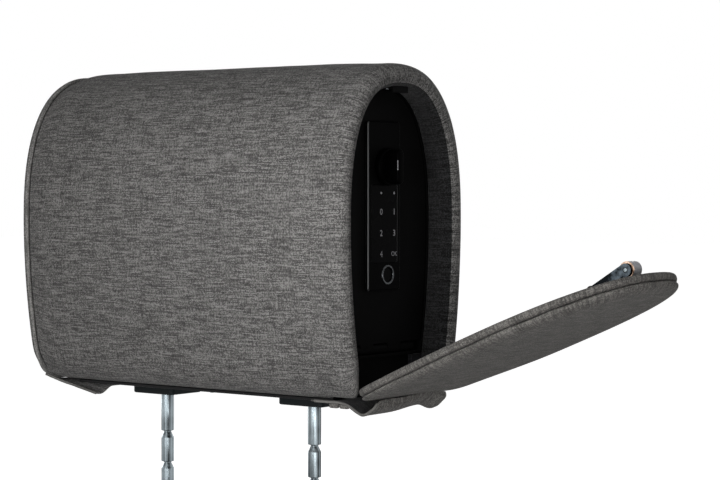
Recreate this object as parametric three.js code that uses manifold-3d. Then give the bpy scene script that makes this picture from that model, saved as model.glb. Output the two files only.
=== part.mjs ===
// Headrest safe: a steel safe inside a padded, fabric-covered car headrest on two notched posts.
// Millimetres. +X runs to the open end, -Y is the front of the cover, +Z is up.
// The origin lies midway between the posts, on the plane of the brackets' undersides.

import * as THREE from 'three';
import { mergeVertices } from 'three/addons/utils/BufferGeometryUtils.js';
import Module from 'manifold-3d';

const wasm = await Module();
wasm.setup();

// Driving dimensions
const WIDTH = 316;
const DEPTH = 149;
const BODY_HEIGHT = 240;
const POST_PITCH = 148.2;
const POST_DIAMETER = 10;
const POST_DROP = 169;
const RIM = 17.5;
const RECESS = 22.3;
const FLAP_OPENING = 67.25;

// Gaps between pieces
const SEAT = 0.3;
const BORE_GAP = 0.3;
const SWING_GAP = 2.7;
const OVERRUN = 5;

// Roundness, in steps of an arc
const CORNER_STEPS = 4;
const SIDE_STEPS = 4;
const CROWN_STEPS = 10;
const RIM_STEPS = 5;
const ROUND = 20;
const SMALL_ROUND = 14;

// Brackets, base plate and channel, from the origin up
const BRACKET = { length: 42, depth: 36, thick: 7.5, corner: 4, bevel: 0.8 };
const BASE_PLATE = { thick: 2.1, lap: 2.6, endInset: 25, strapInset: 48 };
const HEM_Z = BRACKET.thick + SEAT + BASE_PLATE.thick + SEAT;
const CHANNEL = { wall: 2.5, sideGap: 10.5 };
const SHELL_WALL = 2;
const FLOOR_Z = 40;
const FLOOR_UNDER = FLOOR_Z - SHELL_WALL;
const SLOT_TRAVEL = 12;
const STUD = { radius: 4, top: 25, chamfer: 1 };
const WASHER = { radius: 9, thick: 1.6 };
const NUT = { acrossFlats: 13, thick: 6.5 };

// Padding
const COVER = 2.5;
const RIM_ROUND = 10;
const END_PANEL = { thick: 4.8, edge: 9 };
const PIPING = { radius: 1.7, sink: 0.8 };
const END_PAD = 10;

// Outline of the headrest in the YZ plane
const BODY = {
  halfDepth: DEPTH / 2,
  bottom: HEM_Z,
  height: BODY_HEIGHT,
  widestShare: 0.52,
  sideRadius: 560,
  cornerRadius: 28,
  crownPower: 2.4,
};
const CROWN_Z = HEM_Z + BODY_HEIGHT;

// Places along X
const RIGHT_END = WIDTH / 2;
const LEFT_END = -WIDTH / 2;
const FACE_X = RIGHT_END - RECESS;
const PIPING_X = LEFT_END + END_PANEL.thick + SEAT + PIPING.radius;
const SLEEVE_LEFT = PIPING_X + PIPING.radius + SEAT;
const SHELL_LEFT = SLEEVE_LEFT + END_PAD;
const POST_X = POST_PITCH / 2;

// Door and its frame
const DOOR = { thick: 3, foot: 4 };
const DOOR_BACK = FACE_X - DOOR.thick;
const FRAME = { thick: 3, width: 6.5, keeperDepth: 2.9, keeperWidth: 24 };
const FRAME_FRONT = DOOR_BACK - SEAT;
const FRAME_BACK = FRAME_FRONT - FRAME.thick;
const HINGE = { barrel: 3.4, pin: 1.5, endGap: 8, knuckles: 5, leaf: 18, leafThick: 1.6 };
const HINGE_X = FACE_X - HINGE.barrel;
const HINGE_Z = FLOOR_Z + SEAT + HINGE.barrel;

// Lock housing behind the door, from above the floor to below the frame's crown
const HOUSING = { depth: 21.7, halfWidth: 26, lift: 52, topGap: 12.2, wall: 1.8 };
const HOUSING_FRONT = DOOR_BACK - SEAT;
const HOUSING_BACK = HOUSING_FRONT - HOUSING.depth;
const HOUSING_BOTTOM = FLOOR_Z + HOUSING.lift;
const HOUSING_TOP = CROWN_Z - RIM - FRAME.width - HOUSING.topGap;

// Keypad panel and what is on it, set in from the panel's ends
const PANEL = { overhang: 5.8, topInset: 6.8, halfWidth: 19, thick: 3, corner: 2, bevel: 0.7 };
const PANEL_BOTTOM = HOUSING_BOTTOM - PANEL.overhang;
const PANEL_TOP = HOUSING_TOP - PANEL.topInset;
const TOUCH_PAD = { footGap: 19.8, topGap: 45.2, halfWidth: 15, corner: 1.5, thick: 0.7 };
const TOUCH_MIDDLE = (PANEL_BOTTOM + TOUCH_PAD.footGap + PANEL_TOP - TOUCH_PAD.topGap) / 2;
const TOUCH_HALF_HEIGHT = (PANEL_TOP - TOUCH_PAD.topGap) - TOUCH_MIDDLE;
const READER = { y: 4, lift: 11, radius: 7.15, wall: 1.6, pocket: 2, proud: 0.5 };
const READER_Z = PANEL_BOTTOM + READER.lift;
const KNOB = { y: 1, drop: 32.5, radius: 13.6, thick: 5, gripWidth: 7, gripHeight: 9, gripInset: 1.2 };
const KNOB_Z = PANEL_TOP - KNOB.drop;
const SPINDLE = { radius: 3, knobDepth: 3.4 };

// Lock works
const CAM = { thick: 3, radius: 6.8, gap: 1.1, crank: 4, pin: 1.5, startAngle: -45 };
const CAM_FRONT = HOUSING_FRONT - HOUSING.wall - CAM.gap;
const CAM_BACK = CAM_FRONT - CAM.thick;
const BOLT = { thick: 6, halfWidth: 7, belowKnob: 10.7, tip: 1.5, keeperGap: 1.2 };
const BOLT_FRONT = CAM_BACK - SEAT;
const BOLT_BACK = BOLT_FRONT - BOLT.thick;
const GUIDE = { wall: 2, lip: 2.3, lipThick: 1.8 };
const BOARD = { thick: 1.6, sideGap: 5, lift: 4, topGap: 6 };
const CELL = { radius: 5.25, pitch: 11.5, count: 3, lift: 3, topGap: 14.5 };
const CELL_BACK = { thick: 2.5, margin: 2 };
const HOUSING_COVER = { thick: 1.6, gripRadius: 9, gripDepth: 0.6 };
const MAT = { thick: 2, sideGap: 4, frontGap: 4 };

// Flap, drawn shut and then swung open about its fabric hinge
const FLAP_GAP = 0.6;
const FLAP_X = RIGHT_END + FLAP_GAP;
const FLAP_INSET = { side: 1.5, foot: 4.8, height: 12 };
const FLAP = {
  halfDepth: BODY.halfDepth - FLAP_INSET.side,
  bottom: HEM_Z + FLAP_INSET.foot,
  height: BODY_HEIGHT - FLAP_INSET.height,
  widestShare: 0.515,
  sideRadius: 560,
  cornerRadius: 26,
  crownPower: 2.4,
};
const FLAP_FOLD = { ahead: 1.6, above: 3.3 };
const FLAP_PIVOT = { x: FLAP_X + FLAP_FOLD.ahead, z: FLAP.bottom + FLAP_FOLD.above };
const INNER_PAD = 5.6;
const OUTER_PAD = 8;
const FLAP_BOARD = { thick: 1.5, inset: 8 };

// Roller catch near the flap's free end, hung from the tunnel's ceiling
const CATCH = { drop: 11.9, offset: 8.5, reach: 28.8, pivotOffset: 5 };
const CATCH_PLATE = { below: 6, height: 27, halfWidth: 9.1, thick: 1.6 };
const EAR = { thick: 1.5, radius: 3.4 };
const ARM = { wall: 1.5, pivotRadius: 3, endRadius: 4.4, webThick: 1.2, webOffset: 3.6 };
const ARM_WEB = { above: 3.1, length: 15.4 };
const ROLLER = { radius: 5.75, length: 11, bore: 3.2, flangeRadius: 4.7, flangeThick: 0.5 };
const CATCH_PIN = { pivot: 1.2, roller: 1.5, headRadius: 2.1, headThick: 0.6 };
const BUSH_WALL = 1.1;
const SPRING = { wire: 0.4, mean: 2.1, turns: 5, pitch: 1.3, tail: 4.5, longTail: 7 };
const SPRING_SIDES = 6;
const SPRING_STEPS = 10;
const STRIKE = { halfWidth: 9, back: 17, length: 12.5, thick: 1.5, lip: 1.5, rollerGap: 0.65 };

// Fabric strap under the open end, and the tab under the closed end
const STRAP = { thick: 1.6, sideInset: 24.5 };
const STRAP_HALF = DEPTH / 2 - STRAP.sideInset;
const STRAP_CLAMP = { thick: 1.5, length: 9, sideInset: 14, inset: 1 };
const TAB = { thick: 2, sideInset: 2.5 };

const degrees = THREE.MathUtils.degToRad;

// Solids

function solidOf(geometry) {
  geometry.deleteAttribute('normal');
  geometry.deleteAttribute('uv');
  const merged = mergeVertices(geometry);
  return new wasm.Manifold(
    new wasm.Mesh({
      numProp: 3,
      vertProperties: new Float32Array(merged.attributes.position.array),
      triVerts: new Uint32Array(merged.index.array),
    })
  );
}

function join(first, ...others) {
  return others.reduce((whole, piece) => whole.add(piece), first);
}

function cut(first, ...tools) {
  return tools.reduce((whole, tool) => whole.subtract(tool), first);
}

function box([x0, x1], [y0, y1], [z0, z1]) {
  const geometry = new THREE.BoxGeometry(x1 - x0, y1 - y0, z1 - z0);
  geometry.translate((x0 + x1) / 2, (y0 + y1) / 2, (z0 + z1) / 2);
  return solidOf(geometry);
}

// A cylinder along Y, and the same turned to lie along X or Z
function rodY(radius, x, z, [y0, y1], sides = ROUND) {
  const geometry = new THREE.CylinderGeometry(radius, radius, y1 - y0, sides);
  geometry.translate(x, (y0 + y1) / 2, z);
  return solidOf(geometry);
}

function rodX(radius, y, z, [x0, x1], sides = ROUND) {
  const geometry = new THREE.CylinderGeometry(radius, radius, x1 - x0, sides);
  geometry.rotateZ(Math.PI / 2);
  geometry.translate((x0 + x1) / 2, y, z);
  return solidOf(geometry);
}

function rodZ(radius, x, y, [z0, z1], sides = ROUND) {
  const geometry = new THREE.CylinderGeometry(radius, radius, z1 - z0, sides);
  geometry.rotateX(Math.PI / 2);
  geometry.translate(x, y, (z0 + z1) / 2);
  return solidOf(geometry);
}

// A flat outline of [y, z] points, pushed along X
function prismX(points, [x0, x1]) {
  return loftX([
    { x: x0, points },
    { x: x1, points },
  ]);
}

// A THREE.Shape drawn in a plane and pushed along the axis across it
function pushed(shape, depth, bevel, axes, place) {
  const geometry = new THREE.ExtrudeGeometry(shape, {
    depth: depth - 2 * bevel,
    bevelEnabled: bevel > 0,
    bevelThickness: bevel,
    bevelSize: bevel,
    bevelOffset: -bevel,
    bevelSegments: 1,
    curveSegments: CORNER_STEPS,
  });
  geometry.translate(0, 0, bevel);
  geometry.applyMatrix4(new THREE.Matrix4().makeBasis(...axes));
  geometry.translate(...place);
  return solidOf(geometry);
}

const ACROSS_X = [new THREE.Vector3(0, 1, 0), new THREE.Vector3(0, 0, 1), new THREE.Vector3(1, 0, 0)];
const ACROSS_Y = [new THREE.Vector3(0, 0, 1), new THREE.Vector3(1, 0, 0), new THREE.Vector3(0, 1, 0)];
const ACROSS_Z = [new THREE.Vector3(1, 0, 0), new THREE.Vector3(0, 1, 0), new THREE.Vector3(0, 0, 1)];

function roundedRectangle(halfWidth, halfHeight, corner) {
  const shape = new THREE.Shape();
  const w = halfWidth - corner;
  const h = halfHeight - corner;
  shape.absarc(w, -h, corner, -Math.PI / 2, 0);
  shape.absarc(w, h, corner, 0, Math.PI / 2);
  shape.absarc(-w, h, corner, Math.PI / 2, Math.PI);
  shape.absarc(-w, -h, corner, Math.PI, 1.5 * Math.PI);
  return shape;
}

// A slot with round ends, along X, cut up through z0 to z1
function slotAlongX(x, halfLength, radius, [z0, z1]) {
  const shape = new THREE.Shape();
  shape.absarc(halfLength, 0, radius, -Math.PI / 2, Math.PI / 2);
  shape.absarc(-halfLength, 0, radius, Math.PI / 2, 1.5 * Math.PI);
  return pushed(shape, z1 - z0, 0, ACROSS_Z, [x, 0, z0]);
}

// A strip of even thickness that follows a curve through [x, z] points, pushed along Y
function strip(route, thick, halfWidth, steps) {
  const curve = new THREE.SplineCurve(route.map(([x, z]) => new THREE.Vector2(x, z)));
  const sides = [[], []];
  for (let i = 0; i <= steps; i += 1) {
    const point = curve.getPoint(i / steps);
    const along = curve.getTangent(i / steps);
    const half = thick / 2;
    sides[0].push(new THREE.Vector2(point.y + along.x * half, point.x - along.y * half));
    sides[1].unshift(new THREE.Vector2(point.y - along.x * half, point.x + along.y * half));
  }
  const shape = new THREE.Shape([...sides[0], ...sides[1]]);
  return pushed(shape, 2 * halfWidth, 0, ACROSS_Y, [0, -halfWidth, 0]);
}

// A skin through outlines of equal point counts: capped at both ends, or closed to a ring
function loftX(stations, ring = false) {
  const count = stations[0].points.length;
  const vertices = stations.flatMap(({ x, points }) => points.flatMap(([y, z]) => [x, y, z]));
  const index = [];
  const last = ring ? stations.length : stations.length - 1;
  for (let i = 0; i < last; i += 1) {
    const here = i * count;
    const next = ((i + 1) % stations.length) * count;
    for (let j = 0; j < count; j += 1) {
      const k = (j + 1) % count;
      index.push(here + j, here + k, next + j, here + k, next + k, next + j);
    }
  }
  if (!ring) {
    const flat = ({ points }) => points.map(([y, z]) => new THREE.Vector2(y, z));
    const end = (stations.length - 1) * count;
    for (const [a, b, c] of THREE.ShapeUtils.triangulateShape(flat(stations[0]), [])) {
      index.push(a, c, b);
    }
    for (const [a, b, c] of THREE.ShapeUtils.triangulateShape(flat(stations.at(-1)), [])) {
      index.push(end + a, end + b, end + c);
    }
  }
  const geometry = new THREE.BufferGeometry();
  geometry.setAttribute('position', new THREE.Float32BufferAttribute(vertices, 3));
  geometry.setIndex(index);
  return solidOf(geometry);
}

// The headrest's outline: flat base, round corners, long side arcs, superellipse crown

function halfOutline(form, inset) {
  const widest = form.bottom + form.height * form.widestShare;
  const crown = form.bottom + form.height - widest;
  const sideY = form.halfDepth - form.sideRadius;
  const cornerZ = form.bottom + form.cornerRadius;
  const reach = form.sideRadius - form.cornerRadius;
  const cornerY = sideY + Math.sqrt(reach ** 2 - (widest - cornerZ) ** 2);
  const meet = Math.asin((widest - cornerZ) / reach);
  const corner = [];
  const side = [];
  for (let i = 0; i <= CORNER_STEPS; i += 1) {
    const angle = -Math.PI / 2 + (i / CORNER_STEPS) * (Math.PI / 2 - meet);
    const radius = form.cornerRadius - inset;
    corner.push([cornerY + radius * Math.cos(angle), cornerZ + radius * Math.sin(angle)]);
  }
  for (let i = 0; i <= SIDE_STEPS; i += 1) {
    const angle = -meet * (1 - i / SIDE_STEPS);
    const radius = form.sideRadius - inset;
    side.push([sideY + radius * Math.cos(angle), widest + radius * Math.sin(angle)]);
  }
  for (let i = 1; i <= CROWN_STEPS; i += 1) {
    const angle = (i / CROWN_STEPS) * (Math.PI / 2);
    const bend = 2 / form.crownPower;
    const cos = Math.max(Math.cos(angle), 0);
    const sin = Math.sin(angle);
    const across = new THREE.Vector2(
      cos ** (2 - bend) / form.halfDepth,
      sin ** (2 - bend) / crown
    ).normalize();
    const y = i === CROWN_STEPS ? 0 : form.halfDepth * cos ** bend - inset * across.x;
    side.push([y, widest + crown * sin ** bend - inset * across.y]);
  }
  return { corner, side };
}

function mirrored(half) {
  const others = half.slice(0, -1).reverse();
  return [...half, ...others.map(([y, z]) => [-y, z])];
}

function outline(form, inset) {
  const { corner, side } = halfOutline(form, inset);
  return mirrored([...corner, ...side.slice(1)]);
}

// The same arch with straight legs that run down to a foot
function legOutline(form, inset, foot) {
  const { side } = halfOutline(form, inset);
  return mirrored([[side[0][0], foot], ...side]);
}

// The headrest as a pillow whose open end is rounded over half the rim
function pillow(inset, left) {
  const stations = [{ x: left, points: outline(BODY, inset) }];
  const centre = RIGHT_END - RIM_ROUND;
  for (let i = 0; i <= RIM_STEPS; i += 1) {
    const angle = (i / RIM_STEPS) * (Math.PI / 2);
    const x = centre + (RIM_ROUND - inset) * Math.sin(angle);
    const depth = RIM / 2 - (RIM / 2 - inset) * Math.cos(angle);
    stations.push({ x, points: outline(BODY, depth) });
  }
  return loftX(stations);
}

// The tunnel from the rim to the door, flared over the other half of the rim
function tunnel(outset) {
  const foot = -OVERRUN;
  const start = FACE_X + SEAT;
  const stations = [{ x: start, points: legOutline(BODY, RIM - outset, foot) }];
  const centre = RIGHT_END - RIM_ROUND;
  for (let i = 0; i <= RIM_STEPS; i += 1) {
    const angle = (i / RIM_STEPS) * (Math.PI / 2);
    const x = centre + (RIM_ROUND - outset) * Math.sin(angle);
    const depth = RIM / 2 + (RIM / 2 - outset) * Math.cos(angle);
    stations.push({ x, points: legOutline(BODY, depth, foot) });
  }
  stations.push({ x: RIGHT_END + OVERRUN, points: legOutline(BODY, RIM / 2, foot) });
  return loftX(stations);
}

const LEG_HALF_WIDTH = legOutline(BODY, RIM, 0)[0][0];
const CHANNEL_HALF = LEG_HALF_WIDTH - CHANNEL.sideGap;
const HINGE_HALF = LEG_HALF_WIDTH - HINGE.endGap;
const MOUTH_BACK = FRAME_BACK + SEAT;

// The space under the safe's mouth, open down to the base
function mouthSlot(outset) {
  const half = LEG_HALF_WIDTH + outset;
  return box([MOUTH_BACK, FACE_X + 2 * SEAT], [-half, half], [-OVERRUN, FLOOR_UNDER]);
}

// Cover and foam

function makeSleeve() {
  const outer = cut(pillow(0, SLEEVE_LEFT), tunnel(0), mouthSlot(0));
  const inner = cut(pillow(COVER, SLEEVE_LEFT - OVERRUN), tunnel(COVER), mouthSlot(COVER));
  const hemGap = CHANNEL_HALF + 2 * SEAT;
  const gap = box([LEFT_END, RIGHT_END], [-hemGap, hemGap], [-OVERRUN, HEM_Z + 2 * COVER]);
  return cut(outer, inner, gap);
}

function makeEndPanel() {
  const { thick, edge } = END_PANEL;
  const stations = [];
  for (let i = 0; i <= RIM_STEPS; i += 1) {
    const angle = (i / RIM_STEPS) * (Math.PI / 2);
    const x = LEFT_END + thick * (1 - Math.cos(angle));
    stations.push({ x, points: outline(BODY, edge * (1 - Math.sin(angle))) });
  }
  return loftX(stations);
}

function makePiping() {
  const stations = [];
  const sides = 2 * CORNER_STEPS;
  for (let i = 0; i < sides; i += 1) {
    const angle = (i / sides) * 2 * Math.PI;
    stations.push({
      x: PIPING_X - PIPING.radius * Math.cos(angle),
      points: outline(BODY, PIPING.sink - PIPING.radius * Math.sin(angle)),
    });
  }
  return loftX(stations, true);
}

// What the foam goes round: the safe body and the base channel
function safeBlock(outset) {
  const inset = RIM - SEAT - SHELL_WALL - outset;
  const arch = prismX(outline(BODY, inset), [SHELL_LEFT - outset, FACE_X + outset]);
  const below = box([LEFT_END, RIGHT_END], [-DEPTH, DEPTH], [0, FLOOR_UNDER - outset]);
  return cut(arch, below);
}

function channelBlock(outset) {
  const half = CHANNEL_HALF + outset;
  return box([CHANNEL_LEFT - outset, MOUTH_BACK + SEAT], [-half, half], [0, FLOOR_UNDER + SEAT]);
}

const CHANNEL_LEFT = LEFT_END + BASE_PLATE.endInset;
const CHANNEL_RIGHT = MOUTH_BACK;

function makeFoam() {
  const inset = COVER + SEAT;
  const foam = cut(pillow(inset, SHELL_LEFT - SEAT), tunnel(inset), mouthSlot(inset));
  return cut(foam, safeBlock(SEAT), channelBlock(SEAT));
}

function makeEndPad() {
  const points = outline(BODY, COVER + SEAT);
  return prismX(points, [LEFT_END + END_PANEL.thick + SEAT, SHELL_LEFT - 2 * SEAT]);
}

// Two soft strips under the body. Their routes are shares of the lengths they hang over.

function makeStrap() {
  const start = RIGHT_END - BASE_PLATE.strapInset + STRAP_CLAMP.inset;
  const flatZ = HEM_Z - SEAT - STRAP.thick / 2;
  const reach = FLAP_PIVOT.x + STRAP_FOLD.out - start;
  const routeShares = [
    [0, 1],
    [0.25, 1],
    [0.46, 1],
    [0.62, 0.76],
    [0.78, 0.3],
    [0.89, 0.08],
    [0.975, 0.32],
    [1, 1.02],
  ];
  const route = routeShares.map(([x, z]) => [start + reach * x, flatZ * z + STRAP_FOLD.low * (1 - z)]);
  return strip(route, STRAP.thick, STRAP_HALF, 6 * CORNER_STEPS);
}

const STRAP_FOLD = { out: 9.3, low: 1.2 };

function makeStrapClamp() {
  const x = RIGHT_END - BASE_PLATE.strapInset + 2 * STRAP_CLAMP.inset;
  const top = HEM_Z - STRAP.thick - 2 * SEAT;
  const half = STRAP_HALF - STRAP_CLAMP.sideInset;
  return box(
    [x, x + STRAP_CLAMP.length],
    [-half, half],
    [top - STRAP_CLAMP.thick, top]
  );
}

const TAB_HANG = { root: 6, length: 41.5, drop: 7.5 };

function makeTab() {
  const x = LEFT_END + TAB_HANG.root;
  const z = HEM_Z - PIPING.radius + PIPING.sink - SEAT - TAB.thick / 2;
  const routeShares = [
    [0, 0],
    [0.3, 0.15],
    [0.65, 0.53],
    [1, 1],
  ];
  const route = routeShares.map(([along, down]) => [
    x + TAB_HANG.length * along,
    z - TAB_HANG.drop * down,
  ]);
  const half = BODY.halfDepth - BODY.cornerRadius - TAB.sideInset;
  return strip(route, TAB.thick, half, 3 * CORNER_STEPS);
}

// Base

function postSlots(radius, [z0, z1]) {
  return [-POST_X, POST_X].map((x) => slotAlongX(x, SLOT_TRAVEL, radius, [z0, z1]));
}

function makeChannel() {
  const half = CHANNEL_HALF;
  const along = [CHANNEL_LEFT, CHANNEL_RIGHT - SEAT];
  const outer = box(along, [-half, half], [HEM_Z, FLOOR_UNDER - SEAT]);
  const inside = half - CHANNEL.wall;
  const hollow = box(
    [along[0] - OVERRUN, along[1] + OVERRUN],
    [-inside, inside],
    [HEM_Z + CHANNEL.wall, FLOOR_UNDER + OVERRUN]
  );
  const slots = postSlots(STUD.radius + BORE_GAP, [HEM_Z - OVERRUN, HEM_Z + 2 * CHANNEL.wall]);
  return cut(outer, hollow, ...slots);
}

function makeBasePlate() {
  const top = HEM_Z - SEAT;
  const left = CHANNEL_LEFT;
  const right = RIGHT_END - BASE_PLATE.strapInset;
  const plate = pushed(
    roundedRectangle((right - left) / 2, CHANNEL_HALF + BASE_PLATE.lap, BRACKET.corner),
    BASE_PLATE.thick,
    0,
    ACROSS_Z,
    [(left + right) / 2, 0, top - BASE_PLATE.thick]
  );
  return cut(plate, ...postSlots(STUD.radius + BORE_GAP, [top - OVERRUN, top + OVERRUN]));
}

function makeBaseEndPlate() {
  const half = LEG_HALF_WIDTH - SEAT;
  const x = CHANNEL_RIGHT + SEAT;
  return box([x, x + SHELL_WALL], [-half, half], [HEM_Z, FLOOR_UNDER - SEAT]);
}

// Posts, at the origin until they are placed

const NOTCH = { first: 29.8, pitch: 24.15, count: 5, neck: 2.9, shoulder: 1, cone: 4.5 };
const POST_CHAMFER = { length: 2.2, radius: 3 };

function makePost() {
  const radius = POST_DIAMETER / 2;
  const shoulderZ = BRACKET.thick - SEAT;
  const points = [
    [0, -POST_DROP],
    [POST_CHAMFER.radius, -POST_DROP],
    [radius, -POST_DROP + POST_CHAMFER.length],
  ];
  for (let i = NOTCH.count - 1; i >= 0; i -= 1) {
    const top = -NOTCH.first - i * NOTCH.pitch;
    points.push([radius, top - NOTCH.shoulder - NOTCH.cone]);
    points.push([NOTCH.neck, top - NOTCH.shoulder]);
    points.push([radius, top]);
  }
  points.push([radius, shoulderZ]);
  points.push([STUD.radius, shoulderZ]);
  points.push([STUD.radius, STUD.top - STUD.chamfer]);
  points.push([STUD.radius - STUD.chamfer, STUD.top]);
  points.push([0, STUD.top]);
  const profile = points.map(([r, z]) => new THREE.Vector2(r, z));
  const geometry = new THREE.LatheGeometry(profile, ROUND);
  geometry.rotateX(Math.PI / 2);
  return solidOf(geometry);
}

function makeBracket() {
  const shape = roundedRectangle(BRACKET.length / 2, BRACKET.depth / 2, BRACKET.corner);
  const block = pushed(shape, BRACKET.thick, BRACKET.bevel, ACROSS_Z, [0, 0, 0]);
  const bore = rodZ(POST_DIAMETER / 2 + BORE_GAP, 0, 0, [-OVERRUN, BRACKET.thick + OVERRUN]);
  return cut(block, bore);
}

const WASHER_Z = HEM_Z + CHANNEL.wall + SEAT;
const NUT_Z = WASHER_Z + WASHER.thick + SEAT;

function makeWasher() {
  const disc = rodZ(WASHER.radius, 0, 0, [WASHER_Z, WASHER_Z + WASHER.thick]);
  return cut(disc, rodZ(STUD.radius + BORE_GAP, 0, 0, [0, STUD.top]));
}

function makeNut() {
  const radius = NUT.acrossFlats / Math.sqrt(3);
  const hexagon = rodZ(radius, 0, 0, [NUT_Z, NUT_Z + NUT.thick], 6);
  return cut(hexagon, rodZ(STUD.radius + BORE_GAP, 0, 0, [0, STUD.top]));
}

// Safe body

function makeShell() {
  const inner = prismX(outline(BODY, RIM - SEAT), [SHELL_LEFT + SHELL_WALL, RIGHT_END]);
  const below = box([LEFT_END, RIGHT_END + OVERRUN], [-DEPTH, DEPTH], [0, FLOOR_Z]);
  return cut(safeBlock(0), cut(inner, below));
}

function makeFrame() {
  const along = [FRAME_BACK, FRAME_FRONT];
  const through = [FRAME_BACK - OVERRUN, FRAME_FRONT + OVERRUN];
  const floor = box([0, RIGHT_END], [-DEPTH, DEPTH], [0, FLOOR_Z + SEAT]);
  const arch = cut(prismX(outline(BODY, RIM), along), floor);
  const clear = prismX(legOutline(BODY, RIM + FRAME.width, 0), through);
  const keeper = cut(
    prismX(outline(BODY, RIM), [FRAME_BACK - FRAME.keeperDepth, FRAME_FRONT]),
    box([0, RIGHT_END], [-DEPTH, DEPTH], [0, BOLT_TOP + BOLT.keeperGap]),
    box([0, RIGHT_END], [-DEPTH, KNOB.y - FRAME.keeperWidth / 2], [0, CROWN_Z]),
    box([0, RIGHT_END], [KNOB.y + FRAME.keeperWidth / 2, DEPTH], [0, CROWN_Z])
  );
  return join(cut(arch, clear), keeper);
}

const BOLT_TOP = CROWN_Z - RIM - FRAME.width - BOLT.keeperGap;

function makeMat() {
  const half = LEG_HALF_WIDTH - MAT.sideGap;
  return box(
    [SHELL_LEFT + SHELL_WALL + SEAT, HOUSING_BACK - MAT.frontGap],
    [-half, half],
    [FLOOR_Z + SEAT, FLOOR_Z + SEAT + MAT.thick]
  );
}

// Door and hinge. Knuckles 0, 2 and 4 belong to the leaf, 1 and 3 to the door.

function knuckle(number, margin) {
  const length = (2 * HINGE_HALF) / HINGE.knuckles;
  const start = -HINGE_HALF + number * length;
  return [start + margin, start + length - margin];
}

function pinBore() {
  const half = HINGE_HALF + OVERRUN;
  return rodY(HINGE.pin + BORE_GAP, HINGE_X, HINGE_Z, [-half, half], SMALL_ROUND);
}

function spindleBore() {
  return rodX(SPINDLE.radius + BORE_GAP, KNOB.y, KNOB_Z, [DOOR_BACK - OVERRUN, FACE_X + OVERRUN]);
}

function makeDoor() {
  const foot = HINGE_Z + DOOR.foot;
  const floor = box([0, RIGHT_END], [-DEPTH, DEPTH], [0, foot]);
  const inset = RIM - SEAT + SWING_GAP;
  const plate = cut(prismX(outline(BODY, inset), [DOOR_BACK, FACE_X]), floor);
  const parts = [1, 3].flatMap((number) => [
    rodY(HINGE.barrel, HINGE_X, HINGE_Z, knuckle(number, SEAT)),
    box([DOOR_BACK, FACE_X], knuckle(number, SEAT), [HINGE_Z, foot + DOOR.thick]),
  ]);
  return cut(join(plate, ...parts), pinBore(), spindleBore());
}

function makeLeaf() {
  const half = HINGE_HALF;
  const back = HINGE_X - HINGE.barrel - SEAT;
  const heights = [FLOOR_Z + SEAT, FLOOR_Z + SEAT + HINGE.leafThick];
  const leaf = box([back - HINGE.leaf, back], [-half, half], heights);
  const parts = [0, 2, 4].flatMap((number) => [
    rodY(HINGE.barrel, HINGE_X, HINGE_Z, knuckle(number, 0)),
    box([back - SEAT, HINGE_X], knuckle(number, 0), heights),
  ]);
  return cut(join(leaf, ...parts), pinBore());
}

function makeHingePin() {
  const half = HINGE_HALF;
  return rodY(HINGE.pin, HINGE_X, HINGE_Z, [-half, half], SMALL_ROUND);
}

// Keypad panel, knob and fingerprint reader on the door's face

const PANEL_BACK = FACE_X + SEAT;
const PANEL_FRONT = PANEL_BACK + PANEL.thick;
const KNOB_BACK = PANEL_FRONT + SEAT;

function makePanel() {
  const shape = roundedRectangle(PANEL.halfWidth, (PANEL_TOP - PANEL_BOTTOM) / 2, PANEL.corner);
  const place = [PANEL_BACK, 0, (PANEL_BOTTOM + PANEL_TOP) / 2];
  const plate = pushed(shape, PANEL.thick, PANEL.bevel, ACROSS_X, place);
  const padPocket = pushed(
    roundedRectangle(TOUCH_PAD.halfWidth + SEAT, TOUCH_HALF_HEIGHT + SEAT, TOUCH_PAD.corner + SEAT),
    OVERRUN,
    0,
    ACROSS_X,
    [PANEL_FRONT - TOUCH_PAD.thick - SEAT, 0, TOUCH_MIDDLE]
  );
  const readerPocket = rodX(READER.radius + SEAT, READER.y, READER_Z, [
    PANEL_FRONT - READER.pocket - SEAT,
    PANEL_FRONT + OVERRUN,
  ]);
  return cut(plate, padPocket, readerPocket, spindleBore());
}

function makeTouchPad() {
  const shape = roundedRectangle(TOUCH_PAD.halfWidth, TOUCH_HALF_HEIGHT, TOUCH_PAD.corner);
  const place = [PANEL_FRONT - TOUCH_PAD.thick, 0, TOUCH_MIDDLE];
  return pushed(shape, TOUCH_PAD.thick, 0, ACROSS_X, place);
}

function makeReaderRing() {
  const along = [PANEL_FRONT - READER.pocket, PANEL_FRONT + READER.proud];
  const through = [along[0] - OVERRUN, along[1] + OVERRUN];
  const ring = rodX(READER.radius, READER.y, READER_Z, along);
  return cut(ring, rodX(READER.radius - READER.wall, READER.y, READER_Z, through));
}

function makeReaderSensor() {
  const radius = READER.radius - READER.wall - SEAT;
  return rodX(radius, READER.y, READER_Z, [PANEL_FRONT - READER.pocket, PANEL_FRONT]);
}

function makeKnob() {
  const front = KNOB_BACK + KNOB.thick;
  const disc = rodX(KNOB.radius, KNOB.y, KNOB_Z, [KNOB_BACK, front], 2 * ROUND);
  const grip = pushed(
    roundedRectangle(KNOB.gripWidth / 2, KNOB.radius - KNOB.gripInset, KNOB.gripWidth / 2 - SEAT),
    KNOB.gripHeight + KNOB.gripInset,
    KNOB.gripInset,
    ACROSS_X,
    [front - KNOB.gripInset, KNOB.y, KNOB_Z]
  );
  const bore = rodX(SPINDLE.radius + BORE_GAP, KNOB.y, KNOB_Z, [
    KNOB_BACK - OVERRUN,
    KNOB_BACK + SPINDLE.knobDepth + SEAT,
  ]);
  return cut(join(disc, grip), bore);
}

// Lock works: the spindle turns a cam whose crank pin lifts the latch bolt

const SPINDLE_BACK = CAM_FRONT - CAM.thick / 2;

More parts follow.
